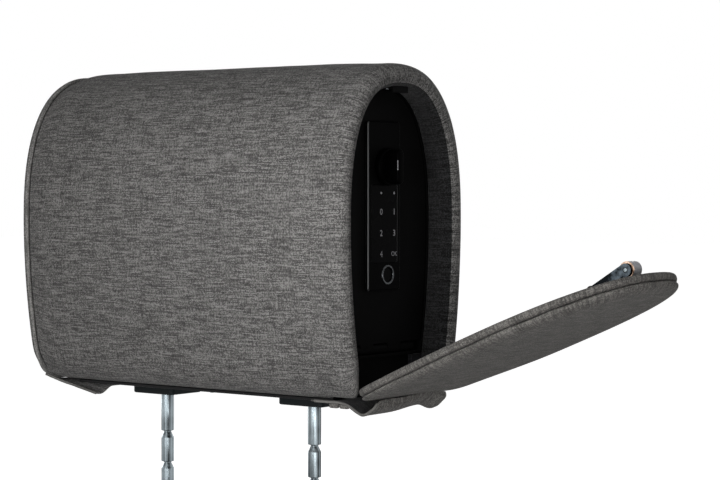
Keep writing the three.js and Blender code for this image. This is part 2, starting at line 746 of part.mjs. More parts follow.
function makeSpindle() {
  return rodX(SPINDLE.radius, KNOB.y, KNOB_Z, [SPINDLE_BACK, KNOB_BACK + SPINDLE.knobDepth]);
}

function makeCam() {
  const disc = rodX(CAM.radius, KNOB.y, KNOB_Z, [CAM_BACK, CAM_FRONT]);
  const angle = degrees(CAM.startAngle);
  const crank = rodX(
    CAM.pin,
    KNOB.y + CAM.crank * Math.cos(angle),
    KNOB_Z + CAM.crank * Math.sin(angle),
    [BOLT_FRONT - BOLT.thick / 2 - SEAT, CAM_BACK + SEAT],
    SMALL_ROUND
  );
  const bore = rodX(SPINDLE.radius + BORE_GAP, KNOB.y, KNOB_Z, [SPINDLE_BACK - SEAT, FACE_X]);
  return cut(join(disc, crank), bore);
}

function makeBolt() {
  const bottom = KNOB_Z - BOLT.belowKnob;
  const profile = new THREE.Shape([
    new THREE.Vector2(bottom, BOLT_BACK),
    new THREE.Vector2(bottom, BOLT_FRONT),
    new THREE.Vector2(BOLT_TOP - BOLT.tip, BOLT_FRONT),
    new THREE.Vector2(BOLT_TOP, BOLT_FRONT - BOLT.tip),
    new THREE.Vector2(BOLT_TOP, BOLT_BACK),
  ]);
  const bar = pushed(profile, 2 * BOLT.halfWidth, 0, ACROSS_Y, [0, KNOB.y - BOLT.halfWidth, 0]);
  const angle = degrees(CAM.startAngle);
  const nearest = CAM.crank * Math.cos(angle);
  const half = CAM.pin + BORE_GAP;
  const slotZ = KNOB_Z + CAM.crank * Math.sin(angle);
  const slot = box(
    [BOLT_FRONT - BOLT.thick / 2 - 2 * SEAT, BOLT_FRONT + OVERRUN],
    [KNOB.y + nearest - half, KNOB.y + CAM.crank + half],
    [slotZ - half, slotZ + half]
  );
  return cut(bar, slot);
}

function makeHousing() {
  const half = HOUSING.halfWidth;
  const wall = HOUSING.wall;
  const outer = box([HOUSING_BACK, HOUSING_FRONT], [-half, half], [HOUSING_BOTTOM, HOUSING_TOP]);
  const hollow = box(
    [HOUSING_BACK - OVERRUN, HOUSING_FRONT - wall],
    [wall - half, half - wall],
    [HOUSING_BOTTOM + wall, HOUSING_TOP - wall]
  );
  const guideInner = BOLT.halfWidth + SEAT;
  const guideBottom = KNOB_Z - BOLT.belowKnob;
  const guides = [-1, 1].flatMap((side) => {
    const sorted = (a, b) => [KNOB.y + side * a, KNOB.y + side * b].sort((m, n) => m - n);
    const outside = guideInner + GUIDE.wall;
    const heights = [guideBottom, HOUSING_TOP - wall / 2];
    return [
      box([BOLT_BACK - SEAT, HOUSING_FRONT - wall / 2], sorted(guideInner, outside), heights),
      box(
        [BOLT_BACK - SEAT - GUIDE.lipThick, BOLT_BACK - SEAT],
        sorted(guideInner - GUIDE.lip, outside),
        heights
      ),
    ];
  });
  const boltWay = box(
    [BOLT_BACK - SEAT, BOLT_FRONT + SEAT],
    [KNOB.y - guideInner, KNOB.y + guideInner],
    [guideBottom, HOUSING_TOP + OVERRUN]
  );
  return cut(join(cut(outer, hollow), ...guides), boltWay, spindleBore());
}

function makeHousingCover() {
  const half = HOUSING.halfWidth;
  const front = HOUSING_BACK - SEAT;
  const back = front - HOUSING_COVER.thick;
  const plate = box([back, front], [-half, half], [HOUSING_BOTTOM, HOUSING_TOP]);
  const grip = rodX(HOUSING_COVER.gripRadius, 0, HOUSING_BOTTOM + 2 * HOUSING_COVER.gripRadius, [
    back - OVERRUN,
    back + HOUSING_COVER.gripDepth,
  ]);
  return cut(plate, grip);
}

const BOARD_FRONT = HOUSING_FRONT - HOUSING.wall - SEAT;
const BOARD_BOTTOM = HOUSING_BOTTOM + BOARD.lift;
const BOARD_TOP = KNOB_Z - BOLT.belowKnob - BOARD.topGap;

function makeBoard() {
  const half = HOUSING.halfWidth - BOARD.sideGap;
  return box([BOARD_FRONT - BOARD.thick, BOARD_FRONT], [-half, half], [BOARD_BOTTOM, BOARD_TOP]);
}

function makeBatteries() {
  const front = BOARD_FRONT - BOARD.thick - SEAT;
  const bottom = BOARD_BOTTOM + CELL.lift;
  const top = BOARD_TOP - CELL.topGap;
  const x = front - CELL_BACK.thick - CELL.radius;
  const half = ((CELL.count - 1) * CELL.pitch) / 2 + CELL.radius + CELL_BACK.margin;
  const tray = box(
    [front - CELL_BACK.thick - CELL.radius / 2, front],
    [-half, half],
    [bottom - CELL_BACK.margin, top + CELL_BACK.margin]
  );
  const cells = [];
  for (let i = 0; i < CELL.count; i += 1) {
    const y = (i - (CELL.count - 1) / 2) * CELL.pitch;
    cells.push(rodZ(CELL.radius, x, y, [bottom, top]));
  }
  return join(tray, ...cells);
}

// Flap, in its shut place

function padStations(rows) {
  return loftX(rows.map(([depth, inset]) => ({ x: FLAP_X + depth, points: outline(FLAP, inset) })));
}

function makeInnerPad() {
  const shares = [
    [0, 0.34],
    [0.12, 0.12],
    [0.5, 0],
    [0.88, 0.12],
    [1, 0.34],
  ];
  return padStations(shares.map(([depth, inset]) => [INNER_PAD * depth, INNER_PAD * inset]));
}

function makeOuterPad() {
  const start = INNER_PAD + SEAT;
  const shares = [
    [0, 0.22],
    [0.08, 0.08],
    [0.3, 0],
    [0.52, 0.13],
    [0.7, 0.45],
    [0.84, 1],
    [0.94, 1.8],
    [1, 2.8],
  ];
  const pad = padStations(shares.map(([depth, inset]) => [start + OUTER_PAD * depth, OUTER_PAD * inset]));
  const pocket = prismX(outline(FLAP, FLAP_BOARD.inset - SEAT), [
    FLAP_X,
    FLAP_X + start + FLAP_BOARD.thick + SEAT,
  ]);
  return cut(pad, pocket);
}

function makeFlapBoard() {
  const x = FLAP_X + INNER_PAD + SEAT;
  return prismX(outline(FLAP, FLAP_BOARD.inset), [x, x + FLAP_BOARD.thick]);
}

// Roller catch on the flap's inner face, and its strike on the tunnel's ceiling

const CATCH_Z = CROWN_Z - RIM - CATCH.drop;
const CATCH_X = FLAP_X - CATCH.offset;
const ARM_Z = CATCH_Z - CATCH.reach;
const ARM_X = FLAP_X - CATCH.pivotOffset;
const ARM_INNER = ROLLER.length / 2 + SEAT;
const EAR_INNER = ARM_INNER + ARM.wall + SEAT;
const PLATE_FRONT = FLAP_X - SEAT;
const PLATE_BACK = PLATE_FRONT - CATCH_PLATE.thick;

function makeCatchPlate() {
  const bottom = ARM_Z - CATCH_PLATE.below;
  const half = CATCH_PLATE.halfWidth;
  const plate = box([PLATE_BACK, PLATE_FRONT], [-half, half], [bottom, bottom + CATCH_PLATE.height]);
  const ears = [-1, 1].flatMap((side) => {
    const y = [side * EAR_INNER, side * (EAR_INNER + EAR.thick)].sort((a, b) => a - b);
    return [
      rodY(EAR.radius, ARM_X, ARM_Z, y),
      box([ARM_X, PLATE_FRONT], y, [ARM_Z - EAR.radius, ARM_Z + EAR.radius]),
    ];
  });
  const across = [-2 * half, 2 * half];
  const bore = rodY(CATCH_PIN.pivot + BORE_GAP, ARM_X, ARM_Z, across, SMALL_ROUND);
  return cut(join(plate, ...ears), bore);
}

// Outline of one cheek: the hull of two discs, around the pivot and around the roller's pin
function cheekShape() {
  const lean = Math.atan2(CATCH_X - ARM_X, CATCH_Z - ARM_Z);
  const length = Math.hypot(CATCH_X - ARM_X, CATCH_Z - ARM_Z);
  const taper = Math.asin((ARM.endRadius - ARM.pivotRadius) / length);
  const shape = new THREE.Shape();
  const a = Math.PI / 2 + taper;
  shape.absarc(CATCH_Z, CATCH_X, ARM.endRadius, lean - a, lean + a);
  shape.absarc(ARM_Z, ARM_X, ARM.pivotRadius, lean + a, lean - a + 2 * Math.PI);
  return shape;
}

function makeArm() {
  const cheeks = [-ARM_INNER - ARM.wall, ARM_INNER].map((y) =>
    pushed(cheekShape(), ARM.wall, 0, ACROSS_Y, [0, y, 0])
  );
  const webX = FLAP_X - ARM.webOffset;
  const webZ = ARM_Z + ARM_WEB.above;
  const overlap = ARM_INNER + ARM.wall / 2;
  const web = box([webX - ARM.webThick, webX], [-overlap, overlap], [webZ, webZ + ARM_WEB.length]);
  const across = [-2 * EAR_INNER, 2 * EAR_INNER];
  return cut(
    join(web, ...cheeks),
    rodY(CATCH_PIN.pivot + BORE_GAP, ARM_X, ARM_Z, across, SMALL_ROUND),
    rodY(CATCH_PIN.roller + BORE_GAP, CATCH_X, CATCH_Z, across, SMALL_ROUND)
  );
}

function headedPin(radius, x, z, half) {
  const ends = [-half - CATCH_PIN.headThick, half + CATCH_PIN.headThick];
  return join(
    rodY(radius, x, z, ends, SMALL_ROUND),
    rodY(CATCH_PIN.headRadius, x, z, [ends[0], -half], SMALL_ROUND),
    rodY(CATCH_PIN.headRadius, x, z, [half, ends[1]], SMALL_ROUND)
  );
}

function makePivotPin() {
  return headedPin(CATCH_PIN.pivot, ARM_X, ARM_Z, EAR_INNER + EAR.thick + SEAT);
}

// The roller's pin has flush ends, because the ears stand close outside the cheeks
function makeRollerPin() {
  const half = ARM_INNER + ARM.wall;
  return rodY(CATCH_PIN.roller, CATCH_X, CATCH_Z, [-half, half], SMALL_ROUND);
}

function makeRoller() {
  const half = ROLLER.length / 2;
  const body = rodY(ROLLER.radius, CATCH_X, CATCH_Z, [-half, half]);
  const bore = rodY(ROLLER.bore, CATCH_X, CATCH_Z, [-2 * half, 2 * half], SMALL_ROUND);
  const sink = rodY(ROLLER.flangeRadius + BORE_GAP, CATCH_X, CATCH_Z, [
    -2 * half,
    -half + ROLLER.flangeThick + SEAT,
  ]);
  return cut(body, bore, sink);
}

function makeBush() {
  const half = ROLLER.length / 2;
  const outer = CATCH_PIN.roller + BORE_GAP + BUSH_WALL;
  const tube = rodY(outer, CATCH_X, CATCH_Z, [-half, half], SMALL_ROUND);
  const flange = rodY(ROLLER.flangeRadius, CATCH_X, CATCH_Z, [-half, -half + ROLLER.flangeThick]);
  const bore = rodY(CATCH_PIN.roller + BORE_GAP, CATCH_X, CATCH_Z, [-2 * half, 2 * half], SMALL_ROUND);
  return cut(join(tube, flange), bore);
}

// Torsion spring round the pivot: one tail under the pivot, one behind the arm's web
class SpringCurve extends THREE.Curve {
  getPoint(share) {
    const coil = 2 * Math.PI * SPRING.mean * SPRING.turns;
    const travelled = share * (SPRING.tail + coil + SPRING.longTail) - SPRING.tail;
    const wound = THREE.MathUtils.clamp(travelled / coil, 0, 1);
    const angle = 2 * Math.PI * SPRING.turns * wound;
    const straight = travelled - coil * wound;
    const y = (wound - 0.5) * SPRING.turns * SPRING.pitch;
    return new THREE.Vector3(
      ARM_X + SPRING.mean * Math.cos(angle),
      y,
      ARM_Z + SPRING.mean * Math.sin(angle) + straight
    );
  }
}

function makeSpring() {
  const shape = new THREE.Shape();
  shape.absarc(0, 0, SPRING.wire, 0, 2 * Math.PI);
  const geometry = new THREE.ExtrudeGeometry(shape, {
    steps: SPRING.turns * SPRING_STEPS + SPRING_STEPS,
    extrudePath: new SpringCurve(),
    curveSegments: SPRING_SIDES / 2,
  });
  return solidOf(geometry);
}

function makeStrike() {
  const back = RIGHT_END - STRIKE.back;
  const front = back + STRIKE.length;
  const roof = prismX(outline(BODY, RIM + SEAT), [back, front]);
  const under = prismX(outline(BODY, RIM + SEAT + STRIKE.thick), [back - OVERRUN, front + OVERRUN]);
  const half = STRIKE.halfWidth;
  const keep = box([back, front], [-half, half], [BODY_HEIGHT / 2, CROWN_Z]);
  const pad = cut(roof.intersect(keep), under);
  const reach = Math.hypot(FLAP_PIVOT.x - CATCH_X, CATCH_Z - FLAP_PIVOT.z) + ROLLER.radius;
  const lipZ = FLAP_PIVOT.z + reach + STRIKE.rollerGap;
  const lip = roof.intersect(box([front - STRIKE.lip, front], [-half, half], [lipZ, BODY_HEIGHT]));
  return join(pad, lip);
}

// Materials: colour, roughness, metalness

const LOOKS = {
  weave: [0x676563, 0.95, 0],
  darkWeave: [0x45423e, 0.95, 0],
  foam: [0x8f8c80, 1, 0],
  blackSteel: [0x161616, 0.5, 0.6],
  blackPlastic: [0x101010, 0.45, 0],
  gloss: [0x0b0b0c, 0.12, 0],
  chrome: [0xb4bec2, 0.2, 1],
  zinc: [0x3c4246, 0.4, 0.9],
  brass: [0xc08a52, 0.3, 1],
  nylon: [0x9a9ca2, 0.5, 0],
  board: [0x1d5a34, 0.6, 0],
  felt: [0x202022, 1, 0],
  timber: [0x2a2a2a, 0.8, 0],
};

const root = new THREE.Group();

function piece(name, solid, look, group = root) {
  const data = solid.getMesh();
  const geometry = new THREE.BufferGeometry();
  geometry.setAttribute('position', new THREE.BufferAttribute(new Float32Array(data.vertProperties), 3));
  geometry.setIndex(new THREE.BufferAttribute(new Uint32Array(data.triVerts), 1));
  geometry.computeVertexNormals();
  const [color, roughness, metalness] = LOOKS[look];
  const material = new THREE.MeshStandardMaterial({ color, roughness, metalness, flatShading: true });
  const mesh = new THREE.Mesh(geometry, material);
  mesh.name = name;
  group.add(mesh);
  return mesh;
}

piece('cover_sleeve', makeSleeve(), 'weave');
piece('cover_end_panel', makeEndPanel(), 'weave');
piece('end_piping', makePiping(), 'darkWeave');
piece('bottom_tab', makeTab(), 'weave');
piece('foam_wrap', makeFoam(), 'foam');
piece('foam_end_pad', makeEndPad(), 'foam');

piece('safe_shell', makeShell(), 'blackSteel');
piece('door_frame', makeFrame(), 'blackSteel');
piece('floor_mat', makeMat(), 'felt');
piece('hinge_leaf', makeLeaf(), 'blackSteel');
piece('hinge_pin', makeHingePin(), 'chrome');

piece('door_plate', makeDoor(), 'blackSteel');
piece('keypad_panel', makePanel(), 'blackPlastic');
piece('touch_pad', makeTouchPad(), 'gloss');
piece('fingerprint_ring', makeReaderRing(), 'chrome');
piece('fingerprint_sensor', makeReaderSensor(), 'gloss');
piece('knob', makeKnob(), 'blackPlastic');
piece('knob_spindle', makeSpindle(), 'chrome');
piece('lock_cam', makeCam(), 'zinc');
piece('latch_bolt', makeBolt(), 'zinc');
piece('lock_housing', makeHousing(), 'blackPlastic');
piece('battery_cover', makeHousingCover(), 'blackPlastic');
piece('battery_pack', makeBatteries(), 'gloss');
piece('circuit_board', makeBoard(), 'board');

piece('base_channel', makeChannel(), 'blackSteel');
piece('base_plate', makeBasePlate(), 'blackSteel');
piece('base_end_plate', makeBaseEndPlate(), 'blackSteel');

for (const [side, x] of [
  ['left', -POST_X],
  ['right', POST_X],
]) {
  const group = new THREE.Group();
  group.position.x = x;
  root.add(group);
  piece(`post_${side}`, makePost(), 'chrome', group);
  piece(`bracket_${side}`, makeBracket(), 'zinc', group);
  piece(`washer_${side}`, makeWasher(), 'zinc', group);
  piece(`nut_${side}`, makeNut(), 'zinc', group);
}

piece('strap_clamp', makeStrapClamp(), 'blackSteel');
piece('hinge_strap', makeStrap(), 'weave');
piece('strike_plate', makeStrike(), 'chrome');

const hinge = new THREE.Group();
hinge.position.set(FLAP_PIVOT.x, 0, FLAP_PIVOT.z);
hinge.rotation.y = degrees(FLAP_OPENING);
root.add(hinge);
const flap = new THREE.Group();
flap.position.set(-FLAP_PIVOT.x, 0, -FLAP_PIVOT.z);
hinge.add(flap);

piece('flap_inner_pad', makeInnerPad(), 'darkWeave', flap);
piece('flap_board', makeFlapBoard(), 'timber', flap);
piece('flap_outer_pad', makeOuterPad(), 'weave', flap);
piece('catch_plate', makeCatchPlate(), 'blackSteel', flap);
piece('catch_pivot_pin', makePivotPin(), 'chrome', flap);
piece('catch_arm', makeArm(), 'blackSteel', flap);
piece('catch_spring', makeSpring(), 'chrome', flap);
piece('roller_pin', makeRollerPin(), 'chrome', flap);
piece('roller', makeRoller(), 'nylon', flap);
piece('roller_bush', makeBush(), 'brass', flap);

export default root;
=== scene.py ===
import math

import bmesh
import bpy
from mathutils import Matrix, Vector, noise


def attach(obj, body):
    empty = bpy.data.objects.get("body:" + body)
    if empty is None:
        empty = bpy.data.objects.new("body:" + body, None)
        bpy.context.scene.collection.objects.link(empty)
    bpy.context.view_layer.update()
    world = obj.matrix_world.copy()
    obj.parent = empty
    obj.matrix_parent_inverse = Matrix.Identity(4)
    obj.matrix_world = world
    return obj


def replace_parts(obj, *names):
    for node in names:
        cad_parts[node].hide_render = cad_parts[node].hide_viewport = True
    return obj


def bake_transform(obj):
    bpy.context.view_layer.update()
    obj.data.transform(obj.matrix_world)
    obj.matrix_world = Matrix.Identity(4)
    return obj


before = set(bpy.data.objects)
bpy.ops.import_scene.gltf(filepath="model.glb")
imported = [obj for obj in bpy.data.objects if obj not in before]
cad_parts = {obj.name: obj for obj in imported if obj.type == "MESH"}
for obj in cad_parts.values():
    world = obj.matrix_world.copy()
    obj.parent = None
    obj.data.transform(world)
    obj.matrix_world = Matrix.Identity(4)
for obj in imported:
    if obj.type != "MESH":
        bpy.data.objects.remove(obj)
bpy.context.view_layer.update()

# Places and sizes in metres, as the solids have them. X runs to the open end, -Y is the front.
SEAT = 0.0003
RIGHT_END = 0.158
LEFT_END = -0.158
SLEEVE_LEFT = -0.1532
HEM_Z = 0.0102
RIM = 0.0175
RIM_ROUND = 0.010
FACE_X = 0.1357
MOUTH_X = 0.1268
HEM_HALF = 0.038
COVER = 0.0025
FLAP_X = 0.1586
FLAP_PIVOT = Vector((0.1602, 0, 0.0183))
FLAP_OPENING = math.radians(67.25)
INNER_PAD = 0.0056
OUTER_PAD = 0.0066
POST_X = 0.0741
FLOOR_LEVEL = -0.169

UP = (0, 0, 1)
DOWN = (0, 0, -1)
ALONG_X = (1, 0, 0)
ALONG_Y = (0, 1, 0)
SIDES = ((0, -1), (1, 1))

ARCH = dict(widest=0.52, side=0.560, power=2.4)
BODY = dict(ARCH, half=0.0745, bottom=HEM_Z, height=0.240, corner=0.028)
FLAP = dict(ARCH, half=0.073, bottom=0.015, height=0.2255, corner=0.017)

OPENED = (
    Matrix.Translation(FLAP_PIVOT)
    @ Matrix.Rotation(FLAP_OPENING, 4, "Y")
    @ Matrix.Translation(-FLAP_PIVOT)
)


def in_scene(name, data):
    thing = bpy.data.objects.new(name, data)
    bpy.context.scene.collection.objects.link(thing)
    return thing


def evenly(first, last, count):
    """Values from first to last in even steps."""
    return [first + (last - first) * step / count for step in range(count + 1)]


# Camera at the photograph's place

CAMERA_PLACE = Vector((1.059, -1.206, 0.1617))
CAMERA_HEADING = math.radians(38)
CAMERA_PITCH = math.radians(1.49)
CAMERA_LENS = 105.67


def place_camera():
    data = bpy.data.cameras.new("camera")
    data.lens = CAMERA_LENS
    data.sensor_width = 36
    camera = in_scene("camera", data)
    level = math.cos(CAMERA_PITCH)
    gaze = Vector((
        -math.sin(CAMERA_HEADING) * level,
        math.cos(CAMERA_HEADING) * level,
        -math.sin(CAMERA_PITCH),
    ))
    camera.location = CAMERA_PLACE
    camera.rotation_euler = gaze.to_track_quat("-Z", "Y").to_euler()
    bpy.context.scene.camera = camera


place_camera()


# Materials


class Nodes:
    """A node tree under construction."""

    def __init__(self, tree):
        self.tree = tree

    def add(self, kind, inputs=None, **settings):
        node = self.tree.nodes.new(kind)
        for key, value in settings.items():
            setattr(node, key, value)
        for key, value in (inputs or {}).items():
            if isinstance(value, bpy.types.NodeSocket):
                self.tree.links.new(value, node.inputs[key])
            else:
                node.inputs[key].default_value = value
        return node

    def maths(self, operation, first, second):
        return self.add("ShaderNodeMath", {0: first, 1: second}, operation=operation).outputs[0]

    def seen_directly(self):
        """1 for rays from the camera, off a gloss or through clear material, 0 for the others."""
        paths = self.add("ShaderNodeLightPath")
        shown = self.maths("MAXIMUM", paths.outputs["Is Camera Ray"], paths.outputs["Is Glossy Ray"])
        return self.maths("MAXIMUM", shown, paths.outputs["Is Transmission Ray"])


class Finish(Nodes):
    """One material under construction: a principled shader and the nodes that feed it."""

    def __init__(self, name, colour, roughness, metallic=0.0, specular=0.5):
        self.material = bpy.data.materials.new(name)
        self.material.use_nodes = True
        self.material.diffuse_color = (*colour, 1)
        super().__init__(self.material.node_tree)
        self.shader = self.tree.nodes["Principled BSDF"]
        self.shader.inputs["Base Color"].default_value = (*colour, 1)
        self.shader.inputs["Roughness"].default_value = roughness
        self.shader.inputs["Metallic"].default_value = metallic
        self.shader.inputs["Specular IOR Level"].default_value = specular

    def feed(self, name, socket):
        self.tree.links.new(socket, self.shader.inputs[name])

    def object_space(self):
        return self.add("ShaderNodeTexCoord").outputs["Object"]

    def cloth_space(self):
        return self.add("ShaderNodeUVMap", uv_map="cloth").outputs["UV"]

    def scaled(self, space, scale):
        return self.add("ShaderNodeMapping", {"Vector": space, "Scale": scale}).outputs["Vector"]

    def axes(self, space):
        return self.add("ShaderNodeSeparateXYZ", {"Vector": space}).outputs

    def noise(self, space, scale, detail=2.0, rough=0.5, dimensions="3D"):
        return self.add(
            "ShaderNodeTexNoise",
            {"Vector": self.scaled(space, scale), "Scale": 1.0, "Detail": detail, "Roughness": rough},
            noise_dimensions=dimensions,
        ).outputs["Fac"]

    def cells(self, space, size):
        return self.add(
            "ShaderNodeVectorMath", {0: space, 1: size}, operation="SNAP"
        ).outputs["Vector"]

    def floats(self, space, size):
        """A random tone for each yarn's float, from cells of the given size."""
        return self.add(
            "ShaderNodeTexWhiteNoise", {"Vector": self.cells(space, size)}, noise_dimensions="2D"
        ).outputs["Value"]

    def weighed(self, first, *others):
        """The sum of (value, weight) pairs."""
        total = self.maths("MULTIPLY", *first)
        for part in others:
            total = self.maths("ADD", total, self.maths("MULTIPLY", *part))
        return total

    def ramp(self, value, stops):
        node = self.add("ShaderNodeValToRGB", {"Fac": value})
        marks = node.color_ramp.elements
        while len(marks) < len(stops):
            marks.new(0.5)
        for mark, (position, colour) in zip(marks, stops):
            mark.position = position
            mark.color = (*colour, 1)
        return node.outputs["Color"]

    def spread(self, value, low, high, start=0.3, stop=0.7):
        """Low up to the start, high from the stop, and an even slope between."""
        return self.add("ShaderNodeMapRange", {
            "Value": value, "From Min": start, "From Max": stop, "To Min": low, "To Max": high,
        }).outputs["Result"]

    def bump(self, height, strength, distance):
        node = self.add(
            "ShaderNodeBump", {"Height": height, "Strength": strength, "Distance": distance}
        )
        self.feed("Normal", node.outputs["Normal"])


YARN_PITCH = 0.0007
FINE = 0.00002
ALONG_YARN = 62
ACROSS_YARN = 7300


def shade(colour, factor):
    return tuple(channel * factor for channel in colour)


def woven(name, colour, contrast=1.0):
    """Heather cloth: each yarn crossing has its own tone, with long slubs along the weft."""
    finish = Finish(name, colour, 0.93, specular=0.18)
    cloth = finish.cloth_space()
    crossings = finish.floats(cloth, (YARN_PITCH, YARN_PITCH, 1))
    rows = finish.cells(cloth, (FINE, YARN_PITCH, 1))
    columns = finish.cells(cloth, (YARN_PITCH, FINE, 1))
    slubs = finish.noise(rows, (ALONG_YARN, ACROSS_YARN, 1), 1.0, 0.5, "2D")
    ribs = finish.noise(columns, (ACROSS_YARN, ALONG_YARN, 1), 1.0, 0.5, "2D")
    clouds = finish.noise(cloth, (9, 14, 1), 2.0, 0.5, "2D")
    tone = finish.weighed((crossings, 0.44), (slubs, 0.78), (ribs, 0.26), (clouds, 0.05))
    finish.feed("Base Color", finish.ramp(tone, [
        (0.50, shade(colour, 1 - 0.62 * contrast)),
        (0.77, shade(colour, 0.93)),
        (1.0, shade(colour, 1 + 1.0 * contrast)),
    ]))
    turn = 2 * math.pi / YARN_PITCH
    parts = finish.axes(finish.scaled(cloth, (turn, turn, 1)))
    across = finish.maths("SINE", parts["X"], 0.0)
    along = finish.maths("SINE", parts["Y"], 0.0)
    yarns = finish.maths("MULTIPLY", across, along)
    finish.bump(finish.weighed((yarns, 0.30), (slubs, 1.2)), 0.45, 0.0004)
    finish.shader.inputs["Sheen Weight"].default_value = 0.06
    finish.shader.inputs["Sheen Roughness"].default_value = 0.5
    return finish.material


def speckled(name, colour, roughness, specular, scale, detail, stops, relief=None, rough=0.7):
    """Foam, felt, board or ink: one noise gives the tone and, where there is any, the relief."""
    finish = Finish(name, colour, roughness, specular=specular)
    grain = finish.noise(finish.object_space(), scale, detail, rough)
    finish.feed("Base Color", finish.ramp(grain, stops))
    if relief:
        finish.bump(grain, *relief)
    return finish.material


def coated(name, colour, roughness, specular, grain):
    """Powder coat or moulded plastic: fine orange peel and uneven gloss."""
    finish = Finish(name, colour, roughness, specular=specular)
    space = finish.object_space()
    peel = finish.noise(space, (grain, grain, grain), 2.0, 0.5)
    wear = finish.noise(space, (22, 22, 22), 4.0, 0.6)
    finish.feed("Roughness", finish.spread(wear, roughness - 0.07, roughness + 0.10))
    finish.feed("Base Color", finish.ramp(wear, [(0.35, shade(colour, 0.8)), (0.7, shade(colour, 1.25))]))
    finish.bump(peel, 0.12, 0.0002)
    return finish.material


def bare_metal(name, colour, roughness, stretch, low=0.45, high=1.5, darker_short_of=None):
    """Plated or bare metal with drawing marks along one axis, darker short of a place in x."""
    finish = Finish(name, colour, roughness, metallic=1.0)
    space = finish.object_space()
    marks = finish.noise(space, stretch, 3.0, 0.6)
    stains = finish.noise(space, (60, 60, 60), 3.0, 0.6)
    finish.feed("Roughness", finish.spread(marks, roughness * 0.7, roughness * 1.4))
    tone = finish.weighed((marks, 0.75), (stains, 0.25))
    if darker_short_of:
        undarkened = finish.spread(finish.axes(space)["X"], 0.4, 1.0, *darker_short_of)
        tone = finish.maths("MULTIPLY", tone, undarkened)
    finish.feed("Base Color", finish.ramp(tone, [(0.36, shade(colour, low)), (0.62, shade(colour, high))]))
    finish.bump(marks, 0.10, 0.0001)
    return finish.material


def printed_board():
    finish = Finish("circuit_green", (0.010, 0.10, 0.035), 0.45)
    tracks = finish.add("ShaderNodeTexBrick", {
        "Vector": finish.scaled(finish.object_space(), (1, 1, 1)),
        "Scale": 160.0,
        "Color1": (0.008, 0.09, 0.03, 1),
        "Color2": (0.012, 0.12, 0.042, 1),
        "Mortar": (0.02, 0.2, 0.07, 1),
        "Mortar Size": 0.04,
    })
    finish.feed("Base Color", tracks.outputs["Color"])
    finish.bump(tracks.outputs["Fac"], 0.2, 0.0001)
    return finish.material


WEAVE = woven("heather_weave", (0.150, 0.146, 0.142))
# painted shade: a darker copy of the weave for the rim's turned-in round
RIM_SHADE_WEAVE = woven("rim_painted_shade_weave", (0.105, 0.102, 0.099), 1.2)
# painted shade: a near-black copy of the weave for the inside of the tunnel and the strap's upper side
PAINTED_SHADE_WEAVE = woven("dark_painted_shade_weave", (0.0100, 0.0100, 0.0104), 1.6)
UNDER_WEAVE = woven("flap_weave", (0.152, 0.145, 0.136), 0.8)
# painted highlight: the piping weave is lighter than the cover's, for light catching the left end
PIPING_HIGHLIGHT_WEAVE = woven("piping_painted_highlight_weave", (0.235, 0.230, 0.222), 0.7)
THREAD = coated("pale_thread", (0.34, 0.33, 0.31), 0.85, 0.1, 1500)
HEM = coated("hem_tape", (0.20, 0.195, 0.185), 0.9, 0.1, 1500)
FOAM = speckled(
    "grey_foam", (0.27, 0.26, 0.24), 0.95, 0.1, (900, 900, 900), 3.0,
    [(0.35, (0.15, 0.145, 0.13)), (0.65, (0.32, 0.31, 0.28))], (0.6, 0.0006),
)
FELT = speckled(
    "black_felt", (0.014, 0.014, 0.016), 0.98, 0.1, (700, 1400, 700), 4.0,
    [(0.35, (0.008, 0.008, 0.010)), (0.7, (0.03, 0.03, 0.032))], (0.5, 0.0004),
)
STEEL = coated("black_coated_steel", (0.0030, 0.0030, 0.0031), 0.6, 0.02, 1100)
BASE_STEEL = coated("base_black_steel", (0.0045, 0.0045, 0.005), 0.5, 0.15, 1100)
PLASTIC = coated("black_panel_plastic", (0.0026, 0.0026, 0.0027), 0.5, 0.01, 1700)
# painted highlight along the keypad panel's side edges
EDGE_HIGHLIGHT_GREY = coated("panel_edge_highlight_grey", (0.050, 0.051, 0.053), 0.4, 0.3, 1700)
KNOB_BLACK = coated("black_knob", (0.0008, 0.0008, 0.0009), 0.30, 0.006, 1700)
GLOSS = coated("touch_gloss", (0.0020, 0.0020, 0.0022), 0.25, 0.012, 300)
CHROME = bare_metal("plated_steel", (0.155, 0.18, 0.193), 0.28, (560, 560, 3), 0.10, 2.1)
RING = bare_metal("ring_steel", (0.034, 0.036, 0.038), 0.24, (30, 900, 900), 0.3, 2.2)
ZINC = bare_metal("grey_zinc", (0.11, 0.12, 0.125), 0.42, (60, 700, 700))
BRACKET_GREY = coated("bracket_grey", (0.0060, 0.0088, 0.0096), 0.5, 0.10, 900)
BRASS = bare_metal("copper_brass", (0.64, 0.44, 0.32), 0.20, (300, 300, 300))
NYLON = coated("pale_nylon", (0.78, 0.785, 0.82), 0.6, 0.15, 600)
BLUED = bare_metal("blued_steel", (0.045, 0.055, 0.064), 0.35, (260, 260, 260), 0.14, 2.5, (0.327, 0.334))
BOARD = printed_board()
FIBREBOARD = speckled(
    "grey_fibreboard", (0.022, 0.022, 0.022), 0.85, 0.5, (500, 150, 500), 4.0,
    [(0.35, (0.014, 0.014, 0.014)), (0.65, (0.035, 0.035, 0.034))], (0.3, 0.0003),
)
INK = speckled(
    "pale_ink", (0.30, 0.30, 0.31), 0.6, 0.2, (900, 900, 900), 2.0,
    [(0.35, (0.20, 0.20, 0.21)), (0.6, (0.38, 0.38, 0.40))], rough=0.6,
)


# Making pieces


